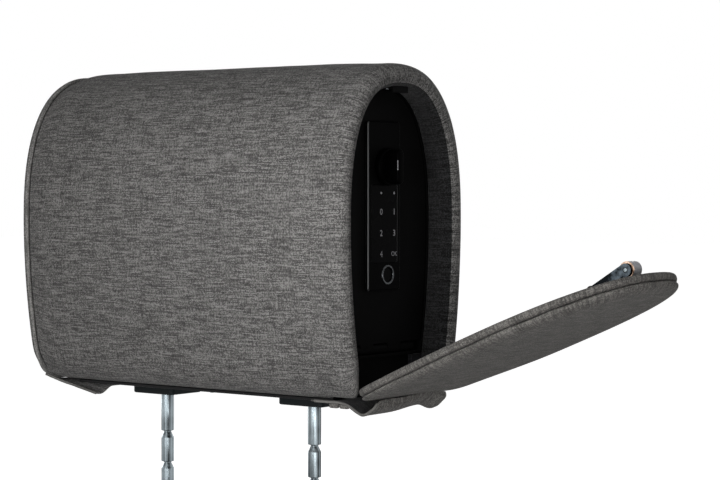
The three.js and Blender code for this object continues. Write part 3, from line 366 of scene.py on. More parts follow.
def finished(name, bm, finish, body, smooth=True, sharp=None):
    """Closes a bmesh into an object with its material, slot and body."""
    mesh = bpy.data.meshes.new(name)
    bm.to_mesh(mesh)
    bm.free()
    for material in finish if isinstance(finish, (list, tuple)) else [finish]:
        mesh.materials.append(material)
    if smooth:
        mesh.shade_smooth()
        if sharp is not None:
            mesh.set_sharp_from_angle(angle=math.radians(sharp))
    piece = in_scene(name, mesh)
    if body:
        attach(piece, body)
    return piece


def finer(piece):
    modifier = piece.modifiers.new("finer", "SUBSURF")
    modifier.levels = 1
    modifier.render_levels = 1
    modifier.uv_smooth = "PRESERVE_BOUNDARIES"


def thicker(piece, thickness, offset=-1.0):
    modifier = piece.modifiers.new("cloth_thickness", "SOLIDIFY")
    modifier.thickness = thickness
    modifier.offset = offset
    modifier.use_even_offset = False
    return modifier


def cushion(name, bm, finish, body, node):
    """Finishes a smooth padded piece of cloth, standing for its node."""
    piece = finished(name, bm, finish, body)
    finer(piece)
    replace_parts(piece, node)


def foam_piece(name, bm, finish, node):
    """Finishes a piece of foam with crisp edges, standing for its node."""
    piece = finished(name, bm, finish, "headrest", sharp=40)
    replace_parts(piece, node)


def grown(bm, edges, row):
    """Extrudes a run of edges once; gives the new edges and the new points, in the row's order."""
    made = bmesh.ops.extrude_edge_only(bm, edges=edges)["geom"]
    fresh = {item for item in made if isinstance(item, bmesh.types.BMVert)}
    edges = [item for item in made if isinstance(item, bmesh.types.BMEdge) and set(item.verts) <= fresh]
    row = [next(e.other_vert(v) for e in v.link_edges if e.other_vert(v) in fresh) for v in row]
    return edges, row


def skin(rows, places, closed=False, bands=None):
    """Extrudes the first row of points through the others; gives the bmesh and its last row.

    places gives each point's (along, across), and bands the material of each band of faces.
    """
    bm = bmesh.new()
    layer = bm.loops.layers.uv.new("cloth")
    row = [bm.verts.new(point) for point in rows[0]]
    pairs = list(zip(row, row[1:]))
    if closed:
        pairs.append((row[-1], row[0]))
    edges = [bm.edges.new(pair) for pair in pairs]
    spot = {vert: (0, column) for column, vert in enumerate(row)}
    for number, points in enumerate(rows[1:], 1):
        edges, row = grown(bm, edges, row)
        for column, (vert, point) in enumerate(zip(row, points)):
            vert.co = point
            spot[vert] = (number, column)
    last = len(rows[0]) - 1
    for face in bm.faces:
        columns = {spot[loop.vert][1] for loop in face.loops}
        if bands:
            face.material_index = bands[max(spot[loop.vert][0] for loop in face.loops)]
        wraps = closed and 0 in columns and last in columns
        for loop in face.loops:
            number, column = spot[loop.vert]
            along, across = places[number][column]
            if wraps and column == 0:
                across += places[number][-1][1] + (places[number][1][1] - places[number][0][1])
            loop[layer].uv = (along, across)
    return bm, row


def grid(runs, across):
    """The (along, across) place of each point, for rows that all have the same spacing."""
    return [[(run, s) for s in across] for run in runs]


def outward(bm):
    bmesh.ops.recalc_face_normals(bm, faces=bm.faces)
    return bm


def turned_to(axis):
    """The turn that lays the z axis along another one."""
    return Vector(UP).rotation_difference(Vector(axis)).to_matrix().to_4x4()


def spun(profile, centre, axis, steps=48):
    """A turned piece: a profile of (radius, height) pairs spun about an axis through centre."""
    bm = bmesh.new()
    points = [bm.verts.new((radius, 0, height)) for radius, height in profile]
    edges = [bm.edges.new(pair) for pair in zip(points, points[1:])]
    if profile[0] == profile[-1]:
        bmesh.ops.remove_doubles(bm, verts=bm.verts, dist=1e-7)
        edges = list(bm.edges)
    bmesh.ops.spin(
        bm, geom=list(bm.verts) + edges, cent=(0, 0, 0), axis=UP, angle=2 * math.pi, steps=steps,
        use_merge=True,
    )
    bmesh.ops.remove_doubles(bm, verts=bm.verts, dist=1e-7)
    bmesh.ops.transform(bm, matrix=Matrix.Translation(centre) @ turned_to(axis), verts=bm.verts)
    return outward(bm)


def rounded(points, radius, steps=3):
    """A profile whose corners are eased by a small radius."""
    eased = [points[0]]
    for before, here, after in zip(points, points[1:], points[2:]):
        a, b, c = Vector(before), Vector(here), Vector(after)
        reach = min(radius, (a - b).length / 2, (c - b).length / 2)
        start = b + (a - b).normalized() * reach
        end = b + (c - b).normalized() * reach
        for step in range(steps + 1):
            share = step / steps
            eased.append(tuple((1 - share) ** 2 * start + 2 * share * (1 - share) * b + share ** 2 * end))
    eased.append(points[-1])
    return eased


def copied(node):
    """The merged shape of a CAD node, ready for finer edges."""
    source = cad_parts[node]
    bm = bmesh.new()
    bm.from_mesh(source.data)
    bmesh.ops.transform(bm, matrix=source.matrix_world, verts=bm.verts)
    bmesh.ops.remove_doubles(bm, verts=bm.verts, dist=2e-6)
    bmesh.ops.dissolve_limit(bm, angle_limit=math.radians(1), verts=bm.verts, edges=bm.edges)
    return bm


SHARP_EDGE = math.radians(40)


def bevelled(bm, edges, offset, segments, clamped=False):
    bmesh.ops.bevel(
        bm, geom=edges, offset=offset, offset_type="OFFSET", affect="EDGES",
        segments=segments, profile=0.5, material=-1, clamp_overlap=clamped,
    )


def eased(node, finish, body, slot, edge):
    """A rigid CAD node with its sharp edges eased, standing for that node."""
    bm = copied(node)
    sharp = [
        e for e in bm.edges
        if len(e.link_faces) == 2 and e.calc_face_angle(0) > SHARP_EDGE
    ]
    bevelled(bm, sharp, edge, 2, clamped=True)
    piece = finished(node + "_finished", bm, finish, body, sharp=50)
    modifier = piece.modifiers.new("flat_faces", "WEIGHTED_NORMAL")
    modifier.keep_sharp = True
    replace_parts(piece, node)
    return piece


def second_finish(piece, chosen):
    """Gives a piece's second material to the chosen faces."""
    for face in piece.data.polygons:
        if chosen(face):
            face.material_index = 1


def curve_shape(name, curve):
    """The shape of a curve or of text, as a bmesh."""
    holder = in_scene(name + "_line", curve)
    bpy.context.view_layer.update()
    mesh = bpy.data.meshes.new_from_object(holder)
    bpy.data.objects.remove(holder)
    bm = bmesh.new()
    bm.from_mesh(mesh)
    return bm


# The headrest's outline: round corners, long side arcs and a superellipse crown

CORNER_STEPS = 8
SIDE_STEPS = 12
CROWN_STEPS = 26


def arch_facts(form):
    widest = form["bottom"] + form["height"] * form["widest"]
    reach = form["side"] - form["corner"]
    corner_z = form["bottom"] + form["corner"]
    side_y = form["half"] - form["side"]
    corner_y = side_y + math.sqrt(reach ** 2 - (widest - corner_z) ** 2)
    meet = math.asin((widest - corner_z) / reach)
    return widest, corner_y, corner_z, side_y, meet


def upper_arch(form, inset):
    """Points from where the corner ends, up the side and over to the crown's middle."""
    widest, _, _, side_y, meet = arch_facts(form)
    rise = form["bottom"] + form["height"] - widest
    points = []
    for step in range(SIDE_STEPS + 1):
        angle = -meet * (1 - step / SIDE_STEPS)
        radius = form["side"] - inset
        points.append((side_y + radius * math.cos(angle), widest + radius * math.sin(angle)))
    bend = 2 / form["power"]
    for step in range(1, CROWN_STEPS + 1):
        angle = step / CROWN_STEPS * math.pi / 2
        cos = max(math.cos(angle), 0)
        sin = math.sin(angle)
        across = Vector((cos ** (2 - bend) / form["half"], sin ** (2 - bend) / rise)).normalized()
        y = 0 if step == CROWN_STEPS else form["half"] * cos ** bend - inset * across.x
        points.append((y, widest + rise * sin ** bend - inset * across.y))
    return points


def corner_arc(form, inset, start_y):
    """Points along the round lower corner, from the place where it is start_y wide."""
    _, corner_y, corner_z, _, meet = arch_facts(form)
    radius = form["corner"] - inset
    first = -math.acos(max(-1.0, min(1.0, (start_y - corner_y) / radius)))
    angles = evenly(first, -meet, CORNER_STEPS)[:-1]
    return [(corner_y + radius * math.cos(a), corner_z + radius * math.sin(a)) for a in angles]


def mirrored(half):
    return [(-y, z) for y, z in half] + list(reversed(half[:-1]))


def lengths(points, start=0.0):
    """How far along a line of points each one lies."""
    total = [start]
    for a, b in zip(points, points[1:]):
        total.append(total[-1] + math.dist(a, b))
    return total


OUTLINE_RUN = lengths(mirrored(corner_arc(BODY, 0, HEM_HALF) + upper_arch(BODY, 0)))


# Cover, foam and the closed end


def soft_step(value, low, high):
    share = max(0.0, min(1.0, (value - low) / (high - low)))
    return share * share * (3 - 2 * share)


def ripple(x, y, z, size, scale):
    return size * noise.noise(Vector((x * scale, y * scale, z * scale)))


RIM_ANGLES = evenly(0.0, math.pi / 2, 9)
STRAIGHT_END = RIGHT_END - RIM_ROUND
NEAR_RIM = STRAIGHT_END - 0.002
MID_MOUTH = 0.142
TUNNEL_ROW = 0.131
SEAM_ROWS = 8
SEAM_ROW_PITCH = 0.0012
COVER_ROWS = 44
SEAM_DRAW = 0.0030
SEAM_REACH = 0.011
CROWN_SETTLE = 0.997
RIM_SETTLE = 0.0010
# where the darker painted shade starts inside the rim
DEEP_SHADE_EDGE = RIGHT_END - RIM_ROUND * 0.32
MIDDLE_Z = 0.130
COVER_SHELL = 0.0011


def drawn_in(y, z, amount):
    """A place on the outline pulled towards the middle, as the end seam pulls the cloth."""
    share = 1 - amount / BODY["half"]
    return (y * share, MIDDLE_Z + (z - MIDDLE_Z) * (share if z > 0.02 else 1))


def cover_stations(inset):
    """Rows of (x, depth, side) from the closed end, over the rim and back to the door."""
    spans = [SLEEVE_LEFT + step * SEAM_ROW_PITCH for step in range(SEAM_ROWS)]
    spans += evenly(spans[-1] + 0.004, MOUTH_X - 0.0004, COVER_ROWS)
    spans += [MOUTH_X, TUNNEL_ROW, FACE_X + SEAT, MID_MOUTH, NEAR_RIM]
    stations = [(x, inset, "outer") for x in spans]
    for side, sign, angles in (("outer", -1, RIM_ANGLES), ("inner", 1, RIM_ANGLES[-2::-1])):
        for angle in angles:
            x = STRAIGHT_END + (RIM_ROUND - inset) * math.sin(angle)
            stations.append((x, RIM / 2 + sign * (RIM / 2 - inset) * math.cos(angle), side))
    return stations + [(x, RIM - inset, "inner") for x in (NEAR_RIM, MID_MOUTH, FACE_X + SEAT)]


def rim_depth(x, inset, side):
    """How deep the half-round rim lies at x, on its inner side (1) or its outer side (-1)."""
    lift = max(0.0, min(1.0, (x - RIGHT_END + RIM_ROUND) / (RIM_ROUND - inset)))
    return RIM / 2 + side * (RIM / 2 - inset) * math.sqrt(1 - lift ** 2)


def cover_row(x, depth, side, inset):
    """The cover's outline at x; the turned-in side has straight legs down to the corner."""
    leg = upper_arch(BODY, rim_depth(x, inset, 1))[0][0]
    start = HEM_HALF if x < MOUTH_X else leg
    arc = corner_arc(BODY, rim_depth(x, inset, -1), start)
    upper = upper_arch(BODY, depth)
    if side == "outer":
        return mirrored(arc + upper)
    leg_y, leg_z = upper[0]
    legs = [(leg_y, z) for z in evenly(arc[0][1], leg_z, CORNER_STEPS)[:-1]]
    return mirrored(legs + upper)


def make_cover():
    stations = cover_stations(0.0)
    rows = []
    bands = []
    for x, depth, side in stations:
        seam = SEAM_DRAW * math.exp(-(((x - SLEEVE_LEFT) / SEAM_REACH) ** 2))
        moves = side == "outer" and x > SLEEVE_LEFT + 0.002
        row = []
        for y, z in cover_row(x, depth, side, 0.0):
            swell = BODY["half"] * (ripple(x, y, z, 0.005, 14) + ripple(x, y, z, 0.0022, 45))
            y, z = drawn_in(y, z, seam - (swell if moves else 0))
            if z > MIDDLE_Z:
                z = MIDDLE_Z + (z - MIDDLE_Z) * CROWN_SETTLE
                z -= RIM_SETTLE * soft_step(x, 0.095, 0.140) * soft_step(z, 0.19, 0.24)
            row.append((x, y, z))
        rows.append(row)
        # the turned-in rim gets painted shade, and deeper in the tunnel a darker painted shade
        bands.append(0 if side == "outer" else 1 if x > DEEP_SHADE_EDGE else 2)
    runs = lengths([station[:2] for station in stations], stations[0][0])
    bm, _ = skin(rows, grid(runs, OUTLINE_RUN), bands=bands)
    bmesh.ops.remove_doubles(bm, verts=bm.verts, dist=1e-5)
    outward(bm)
    cover = finished("cover_cloth", bm, [WEAVE, RIM_SHADE_WEAVE, PAINTED_SHADE_WEAVE], "headrest")
    thicker(cover, COVER_SHELL)
    finer(cover)
    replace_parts(cover, "cover_sleeve")


def closed_outline(form, inset):
    """The whole outline as a ring that starts and ends at the middle of the base."""
    corner_y = arch_facts(form)[1]
    base = form["bottom"] + inset
    half = [(y, base) for y in evenly(0.0, corner_y, 6)[1:-1]]
    half += corner_arc(form, inset, corner_y) + upper_arch(form, inset)
    return [(0.0, base)] + mirrored(half)


CENTRE_SHARES = (0.86, 0.68, 0.48, 0.28, 0.10)
PAD_MIDDLE_Z = 0.125


def shrunk(bm, row, layers, level=False):
    """Closes a ring with smaller ones, each with its share of the size and its rise in x.

    The new rings follow the old one in x, or are level with its first point.
    """
    rim = [vert.co.copy() for vert in row]
    middle = Vector((rim[0].x, 0, PAD_MIDDLE_Z))
    edges = [bm.edges.get((a, b)) for a, b in zip(row, row[1:] + row[:1])]
    for share, rise in layers:
        edges, row = grown(bm, edges, row)
        for vert, start in zip(row, rim):
            vert.co = middle + (start - middle) * share
            vert.co.x = (middle.x if level else start.x) + rise
    bmesh.ops.contextual_create(bm, geom=edges)


def cap(bm, row, bulge=0.0):
    """Closes an open ring, flat or bulging in x, with the weave laid flat over it."""
    rim_x = row[0].co.x
    shrunk(bm, row, [(share, bulge * (1 - share ** 2)) for share in CENTRE_SHARES])
    layer = bm.loops.layers.uv.active
    for face in bm.faces:
        level = all(abs(loop.vert.co.x - rim_x) < abs(bulge) + 1e-4 for loop in face.loops)
        if level and (abs(face.normal.x) > 0.7 or face.calc_area() > 1e-5):
            for loop in face.loops:
                loop[layer].uv = (loop.vert.co.y, loop.vert.co.z)


def ring_stack(form, layers, bulge=0.0, swell=None, drawn=0.0):
    """Outline rings through layers of (x, inset), the last one capped.

    swell moves the points in x, and drawn pulls the rings in as the end seam does.
    """
    across = lengths(closed_outline(form, 0))
    rows = []
    for x, inset in layers:
        rows.append([
            (x + (swell(s, x) if swell else 0.0), *drawn_in(y, z, drawn))
            for s, (y, z) in zip(across, closed_outline(form, inset))
        ])
    bm, last = skin(rows, grid(lengths(layers), across), closed=True)
    cap(bm, last, bulge)
    return bm


def open_edges(bm):
    return [e for e in bm.edges if e.is_boundary]


END_BACK = -0.1576
END_THICK = 0.0048
END_EDGE = 0.009
END_DRAW = 0.0022
END_BULGE = 0.0012


def make_end_panel():
    layers = [(END_BACK + 0.0002, 0.006), (END_BACK, 0.001)]
    for angle in evenly(0.0, math.pi / 2, 8):
        layers.append((END_BACK - END_THICK * math.sin(angle), END_EDGE * (1 - math.cos(angle))))
    bm = ring_stack(BODY, layers, -END_BULGE, drawn=END_DRAW)
    bmesh.ops.contextual_create(bm, geom=open_edges(bm))
    cushion("end_panel_cloth", outward(bm), WEAVE, "headrest", "cover_end_panel")


PIPING_X = -0.1557
PIPING_RADIUS = 0.0017
PIPING_SINK = 0.0008
PIPING_SIDES = 10


def make_piping():
    rows = []
    places = []
    across = lengths(closed_outline(BODY, 0))
    for angle in evenly(0.0, 2 * math.pi, PIPING_SIDES):
        x = PIPING_X - PIPING_RADIUS * math.cos(angle)
        ring = closed_outline(BODY, PIPING_SINK - PIPING_RADIUS * math.sin(angle))
        rows.append([(x, *drawn_in(y, z, END_DRAW)) for y, z in ring])
        places.append([(s, PIPING_RADIUS * angle) for s in across])
    bm, _ = skin(rows, places, closed=True)
    bmesh.ops.remove_doubles(bm, verts=bm.verts, dist=1e-7)
    piping = finished("end_piping_cord", outward(bm), PIPING_HIGHLIGHT_WEAVE, "headrest")
    finer(piping)
    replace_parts(piping, "end_piping")


FOAM_INSET = COVER + SEAT
FOAM_INNER = RIM - SEAT - 0.002 - SEAT
FOAM_LEFT = -0.1395
CHANNEL_SIDE = 0.0377
FLOOR_UNDER = 0.0377
FOAM_ROW_RUN = 0.004
END_FOAM_LAYERS = [
    (-0.1398, 0.0050), (-0.1400, 0.0034), (-0.1410, 0.0030), (-0.1540, 0.0032), (-0.1550, 0.0046),
]


def make_foam():
    stations = [(FOAM_LEFT, FOAM_INSET, "outer")]
    stations += [station for station in cover_stations(FOAM_INSET) if station[0] > FOAM_LEFT + 0.001]
    rows = [
        [(x, y, z) for y, z in cover_row(x, depth, side, FOAM_INSET)] for x, depth, side in stations
    ]
    floor = [(CHANNEL_SIDE, z) for z in (0.0132, 0.0215, 0.0300, FLOOR_UNDER)]
    floor += [(y, FLOOR_UNDER) for y in (0.0405, 0.0435, 0.0465, 0.0500)]
    inner = mirrored(floor + upper_arch(BODY, FOAM_INNER))
    for x in (FACE_X + SEAT - 0.0002, 0.12, 0.06, 0.0, -0.07, FOAM_LEFT):
        rows.append([(x, y, z) for y, z in inner])
    bm, _ = skin(rows, grid([FOAM_ROW_RUN * number for number in range(len(rows))], OUTLINE_RUN))
    ends = [e for e in open_edges(bm) if all(abs(v.co.x - FOAM_LEFT) < 1e-6 for v in e.verts)]
    bmesh.ops.bridge_loops(bm, edges=ends)
    bmesh.ops.remove_doubles(bm, verts=bm.verts, dist=1e-6)
    bmesh.ops.holes_fill(bm, edges=open_edges(bm), sides=0)
    outward(bm)
    for face in bm.faces:
        middle = face.calc_center_median()
        faced = face.normal.x > 0.9 and abs(middle.x - FACE_X) < 0.002
        beside_channel = middle.x > 0.12 and middle.z < 0.040 and abs(middle.y) < 0.040
        if faced or beside_channel:
            face.material_index = 1
    foam_piece("foam_body", bm, [FOAM, FELT], "foam_wrap")


def make_end_foam():
    bm = ring_stack(BODY, END_FOAM_LAYERS, drawn=END_DRAW)
    bmesh.ops.contextual_create(bm, geom=open_edges(bm))
    foam_piece("end_foam_pad", outward(bm), FOAM, "foam_end_pad")


make_cover()
make_end_panel()
make_piping()
make_foam()
make_end_foam()


# Flap: two padded panels round a board, drawn shut and swung open

PUCKER_PITCH = 0.0075
FOOT_THIN = 0.42
FOOT_REACH = 0.105
OUTER_FROM = FLAP_X + INNER_PAD + SEAT
OUTER_BULGE = 0.0006
POCKET = 0.0021
POCKET_LAYERS = ((0.955, 0.0), (0.94, 0.0), (0.935, POCKET), (0.6, POCKET), (0.2, POCKET))
INNER_SHARES = [
    (0.0, 0.60), (0.04, 0.30), (0.16, 0.08), (0.42, 0.0), (0.68, 0.04), (0.88, 0.20), (1.0, 0.55),
]
OUTER_SHARES = [
    (0.0, 0.62), (0.03, 0.34), (0.12, 0.15), (0.30, 0.10), (0.52, 0.24), (0.70, 0.55),
    (0.84, 1.1), (0.94, 1.9), (1.0, 2.9),
]


def pad_swell(size, reach, seam_x):
    """Small puckers along the seam at seam_x."""
    def push(s, x):
        near = math.exp(-(((x - seam_x) / reach) ** 2))
        drift = 3 * noise.noise(Vector((s * 30, 0, 0)))
        return size * near * math.sin(2 * math.pi * s / PUCKER_PITCH + drift)
    return push


def smooth_layers(shares, count):
    """More pairs along a soft curve through the given ones."""
    made = []
    for number in range(len(shares) - 1):
        a = Vector(shares[max(number - 1, 0)])
        b = Vector(shares[number])
        c = Vector(shares[number + 1])
        d = Vector(shares[min(number + 2, len(shares) - 1)])
        for step in range(count):
            t = step / count
            bend = 2 * b + (c - a) * t + (2 * a - 5 * b + 4 * c - d) * t ** 2
            made.append(tuple(0.5 * (bend + (3 * b - a - 3 * c + d) * t ** 3)))
    made.append(tuple(shares[-1]))
    return made


def swung_open(name, bm, node):
    """Finishes a pad drawn on the shut flap, and swings it open."""
    outward(bm)
    bmesh.ops.transform(bm, matrix=OPENED, verts=bm.verts)
    cushion(name, bm, UNDER_WEAVE, "flap", node)


def make_inner_pad():
    layers = [(FLAP_X + INNER_PAD * d, INNER_PAD * i) for d, i in smooth_layers(INNER_SHARES, 2)]
    bm = ring_stack(FLAP, layers, swell=pad_swell(0.00010, 0.0016, FLAP_X + INNER_PAD))
    cap(bm, open_ring(bm))
    swung_open("flap_inner_cloth", bm, "flap_inner_pad")


def open_ring(bm):
    """The points of the one open boundary, in order."""
    edges = open_edges(bm)
    ring = list(edges[0].verts)
    left = set(edges[1:])
    while len(ring) < len(edges):
        edge = next(e for e in ring[-1].link_edges if e in left)
        left.discard(edge)
        ring.append(edge.other_vert(ring[-1]))
    return ring


def make_outer_pad():
    layers = [(OUTER_FROM + OUTER_PAD * d, OUTER_PAD * i) for d, i in smooth_layers(OUTER_SHARES, 2)]
    bm = ring_stack(FLAP, layers, OUTER_BULGE, pad_swell(0.00028, 0.0022, OUTER_FROM))
    shrunk(bm, open_ring(bm), POCKET_LAYERS, level=True)
    for vert in bm.verts:
        thinned = FOOT_THIN * (1 - soft_step(vert.co.z, FLAP["bottom"], FOOT_REACH))
        vert.co.x = OUTER_FROM + (vert.co.x - OUTER_FROM) * (1 - thinned)
    swung_open("flap_outer_cloth", bm, "flap_outer_pad")


make_inner_pad()
make_outer_pad()


# Thread and rolled hems

CORD_SIDES = 8


def tube(points, radius):
    """A round cord along a line of points, its ends closed."""
    bm = bmesh.new()
    places = [Vector(point) for point in points]
    angles = evenly(0.0, 2 * math.pi, CORD_SIDES)[:-1]
    row = bmesh.ops.create_circle(bm, segments=CORD_SIDES, radius=radius)["verts"]
    edges = list(bm.edges)
    for number, here in enumerate(places):
        ahead = places[min(number + 1, len(places) - 1)] - places[max(number - 1, 0)]
        turn = turned_to(ahead).to_3x3()
        if number:
            edges, row = grown(bm, edges, row)
        for angle, vert in zip(angles, row):
            vert.co = here + turn @ Vector((radius * math.cos(angle), radius * math.sin(angle), 0))
    bmesh.ops.holes_fill(bm, edges=open_edges(bm), sides=0)
    return outward(bm)


def along(points, run, spot):
    for a, b, start, stop in zip(points, points[1:], run, run[1:]):
        if spot <= stop:
            return Vector(a).lerp(Vector(b), (spot - start) / (stop - start))
    return Vector(points[-1])


STITCH_LONG = 0.0029
STITCH_GAP = 0.0013
STITCH_THICK = 0.00034


def stitch_row(points):
    """Short plump stitches laid along a line of points."""
    run = lengths(points)
    bm = bmesh.new()
    spot = STITCH_GAP
    while spot + STITCH_LONG < run[-1]:
        first = along(points, run, spot)
        last = along(points, run, spot + STITCH_LONG)
        turn = turned_to(last - first)
        size = Matrix.Diagonal((STITCH_THICK, STITCH_THICK, STITCH_LONG / 2, 1))
        place = Matrix.Translation((first + last) / 2) @ turn @ size
        bmesh.ops.create_uvsphere(bm, u_segments=8, v_segments=6, radius=1, matrix=place)
        spot += STITCH_LONG + STITCH_GAP
    return bm


def edge_trim(prefix, rows, radius, inward, rise, body):
    """A rolled hem and a row of stitches along both side edges of a strip of cloth."""
    trim = []
    for name, column, side in (("near", 0, 1), ("rear", -1, -1)):
        edge = [row[column] for row in rows]
        trim.append(finished(f"{prefix}_hem_{name}", tube(edge, radius), HEM, body))
        line = [(x, y + side * inward, z + rise) for x, y, z in edge]
        trim.append(finished(f"{prefix}_stitches_{name}", stitch_row(line), THREAD, body))
    return trim


# Strap under the open end and its folded corners, and tab under the closed end

STRAP_START = 0.111
STRAP_THICK = 0.0016
STRAP_HALF = 0.050
STRAP_FAR = 0.035
STRAP_FLAT_Z = HEM_Z - SEAT - STRAP_THICK / 2
STRAP_OUT = 0.0093
STRAP_LOW = 0.0010
STRAP_SHARES = [
    (0.0, 1.0), (0.25, 1.0), (0.44, 1.0), (0.58, 0.80), (0.71, 0.32), (0.81, 0.05), (0.90, 0.06),
    (0.972, 0.36), (1.0, 1.02),
]
LOBE_Y = 0.0305
LOBE_REACH = 0.0085
LOBE_DROP = 0.0040
STRAP_LIFT = 0.0026
STRAP_NEAR_TUCK = 0.0033
STRAP_TUCK = 0.0056
TAB_START = LEFT_END + 0.0025
TAB_LENGTH = 0.0485
TAB_DROP = 0.0086
TAB_THICK = 0.002
TAB_HALF = 0.044
TAB_ROOT_HALF = 0.052
TAB_TUCK = 0.0012
TAB_CUT_BACK = 0.0018
TAB_Z = HEM_Z - 0.0017 + 0.0008 - SEAT - TAB_THICK / 2
TAB_SHARES = [(0.0, 0.0), (0.3, 0.22), (0.65, 0.60), (1.0, 1.0)]
TAB_MIDDLE_SHARE = 0.30
STRIP_COLUMNS = 32


def strap_place(x, z, y):
    """The strap hangs in a trough and bags out near its rear side."""
    low = 1 - soft_step(z, STRAP_LOW, STRAP_FLAT_Z)
    lift = STRAP_LIFT * low * soft_step(y, -0.035, 0.020)
    tuck = STRAP_NEAR_TUCK + (STRAP_TUCK - STRAP_NEAR_TUCK) * soft_step(y, -0.024, 0.018)
    lift += tuck * soft_step(x, 0.1560, 0.1675)
    bag = LOBE_DROP * low * math.exp(-(((y - LOBE_Y) / LOBE_REACH) ** 2))
    return (x, y, z + lift - bag + ripple(x, y, 0, 0.0004, 38) * low)


def tab_place(x, z, y):
    """The tab's sides hang free, its middle stays close, and its root wraps up the round corner.

    The free edge is cut back in the middle, so that the bracket can slide.
    """
    free = TAB_MIDDLE_SHARE + (1 - TAB_MIDDLE_SHARE) * soft_step(abs(y), 0.026, 0.042)
    x -= TAB_CUT_BACK * soft_step(x, -0.125, -0.108) * (1 - soft_step(abs(y), 0.022, 0.036))
    beyond = max(0.0, abs(y) - arch_facts(BODY)[1])
    wrapped = BODY["corner"] - math.sqrt(BODY["corner"] ** 2 - beyond ** 2)
    wrapped += TAB_TUCK * soft_step(abs(y), 0.020, 0.045) * (1 - soft_step(x, TAB_START, -0.138))
    return (x, y, TAB_Z - (TAB_Z - z) * free + wrapped + ripple(x, y, 0, 0.0003, 60))


def strip_cloth(route, near, far, corner, placed, root=0.0):
    """A strip of cloth along a route of (x, z): wider at its root, round at its far corners."""
    rows = []
    places = []
    run = lengths(route)
    for (x, z), s in zip(route, run):
        left = run[-1] - s
        less = corner - math.sqrt(max(corner ** 2 - (corner - left) ** 2, 0)) if left < corner else 0.0
        wider = root * (1 - soft_step(s / run[-1], 0.0, 0.40))
        low, high = -near - wider + less, far + wider - less
        across = evenly(low, high, STRIP_COLUMNS)
        rows.append([placed(x, z, y) for y in across])
        places.append([(s, y) for y in across])
    return outward(skin(rows, places)[0]), rows


def make_strap():
    reach = FLAP_PIVOT.x + STRAP_OUT - STRAP_START
    route = [
        (STRAP_START + reach * x, STRAP_FLAT_Z * z + STRAP_LOW * (1 - z))
        for x, z in smooth_layers(STRAP_SHARES, 6)
    ]
    bm, rows = strip_cloth(route, STRAP_HALF, STRAP_FAR, 0.009, strap_place)
    if sum(face.normal.z for face in bm.faces) > 0:
        bmesh.ops.reverse_faces(bm, faces=bm.faces)
    # the strap's upper side, made by the solidify offset, takes the painted-shade weave
    strap = finished("strap_cloth", bm, [UNDER_WEAVE, PAINTED_SHADE_WEAVE], None)
    thicker(strap, STRAP_THICK, 0.0).material_offset = 1
    finer(strap)
    extras = edge_trim("strap", rows[2:-3], 0.00105, 0.0030, -STRAP_THICK / 2, None)
    for piece in [strap] + extras:
        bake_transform(piece)
    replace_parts(strap, "hinge_strap")


def make_tab():
    route = [(TAB_START + TAB_LENGTH * x, TAB_Z - TAB_DROP * z) for x, z in smooth_layers(TAB_SHARES, 6)]
    bm, rows = strip_cloth(route, TAB_HALF, TAB_HALF, 0.004, tab_place, TAB_ROOT_HALF - TAB_HALF)
    tab = finished("tab_cloth", bm, WEAVE, "headrest")
    thicker(tab, TAB_THICK * 0.8, 0.0)
    finer(tab)
    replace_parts(tab, "bottom_tab")
    extras = edge_trim("tab", rows[:-1], 0.0010, -0.0004, 0.0007, "headrest")


FOLD_SIZE = (0.0078, 0.0040, 0.0036)
FOLD_Z = STRAP_FLAT_Z - 0.0026
FOLD_PLACES = (("near", -0.0476), ("rear", 0.0332))


def make_fold(name, x, y):
    """A small folded end of the strap's cloth."""
    bm = bmesh.new()
    bmesh.ops.create_cube(bm, size=1)
    bmesh.ops.scale(bm, vec=FOLD_SIZE, verts=bm.verts)
    bevelled(bm, list(bm.edges), 0.0014, 4)
    bmesh.ops.translate(bm, vec=(x, y, FOLD_Z), verts=bm.verts)
    layer = bm.loops.layers.uv.new("cloth")
    for face in bm.faces:
        for loop in face.loops:
            loop[layer].uv = (loop.vert.co.x, loop.vert.co.z + loop.vert.co.y)
    finished(name, bm, UNDER_WEAVE, "headrest")


make_strap()
make_tab()
for number, x in enumerate((0.1310, 0.1402)):
    for name, y in FOLD_PLACES:
        make_fold(f"strap_fold_{name}_{number}", x, y)


# Hard pieces, carried over with eased edges

for node, finish, body, slot, edge in (
    ("safe_shell", STEEL, "headrest", "black_steel", 0.0004),
    ("door_frame", STEEL, "headrest", "black_steel", 0.0003),
    ("hinge_leaf", STEEL, "headrest", "black_steel", 0.0002),
    ("door_plate", STEEL, "door", "black_steel", 0.0003),
    ("touch_pad", GLOSS, "door", "gloss_black", 0.00015),
    ("lock_housing", PLASTIC, "door", "black_plastic", 0.0003),
    ("battery_cover", PLASTIC, "door", "black_plastic", 0.0003),
    ("battery_pack", GLOSS, "door", "gloss_black", 0.0003),
    ("circuit_board", BOARD, "door", "board_green", 0.0001),
    ("latch_bolt", ZINC, "bolt", "zinc", 0.0003),
    ("lock_cam", ZINC, "knob_set", "zinc", 0.0002),
    ("base_channel", BASE_STEEL, "headrest", "black_steel", 0.0003),
    ("base_plate", BASE_STEEL, "headrest", "black_steel", 0.0003),
    ("base_end_plate", STEEL, "headrest", "black_steel", 0.0003),
    ("bracket_left", BRACKET_GREY, "left_post", "zinc", 0.0003),
    ("bracket_right", BRACKET_GREY, "right_post", "zinc", 0.0003),
    ("strap_clamp", BASE_STEEL, "headrest", "black_steel", 0.0002),
    ("strike_plate", STEEL, "headrest", "chrome", 0.0002),
    ("floor_mat", FELT, "headrest", "felt", 0.0004),
    ("flap_board", FIBREBOARD, "flap", "fibreboard", 0.0002),
    ("catch_plate", STEEL, "flap", "black_steel", 0.0002),
):
    eased(node, finish, body, slot, edge)

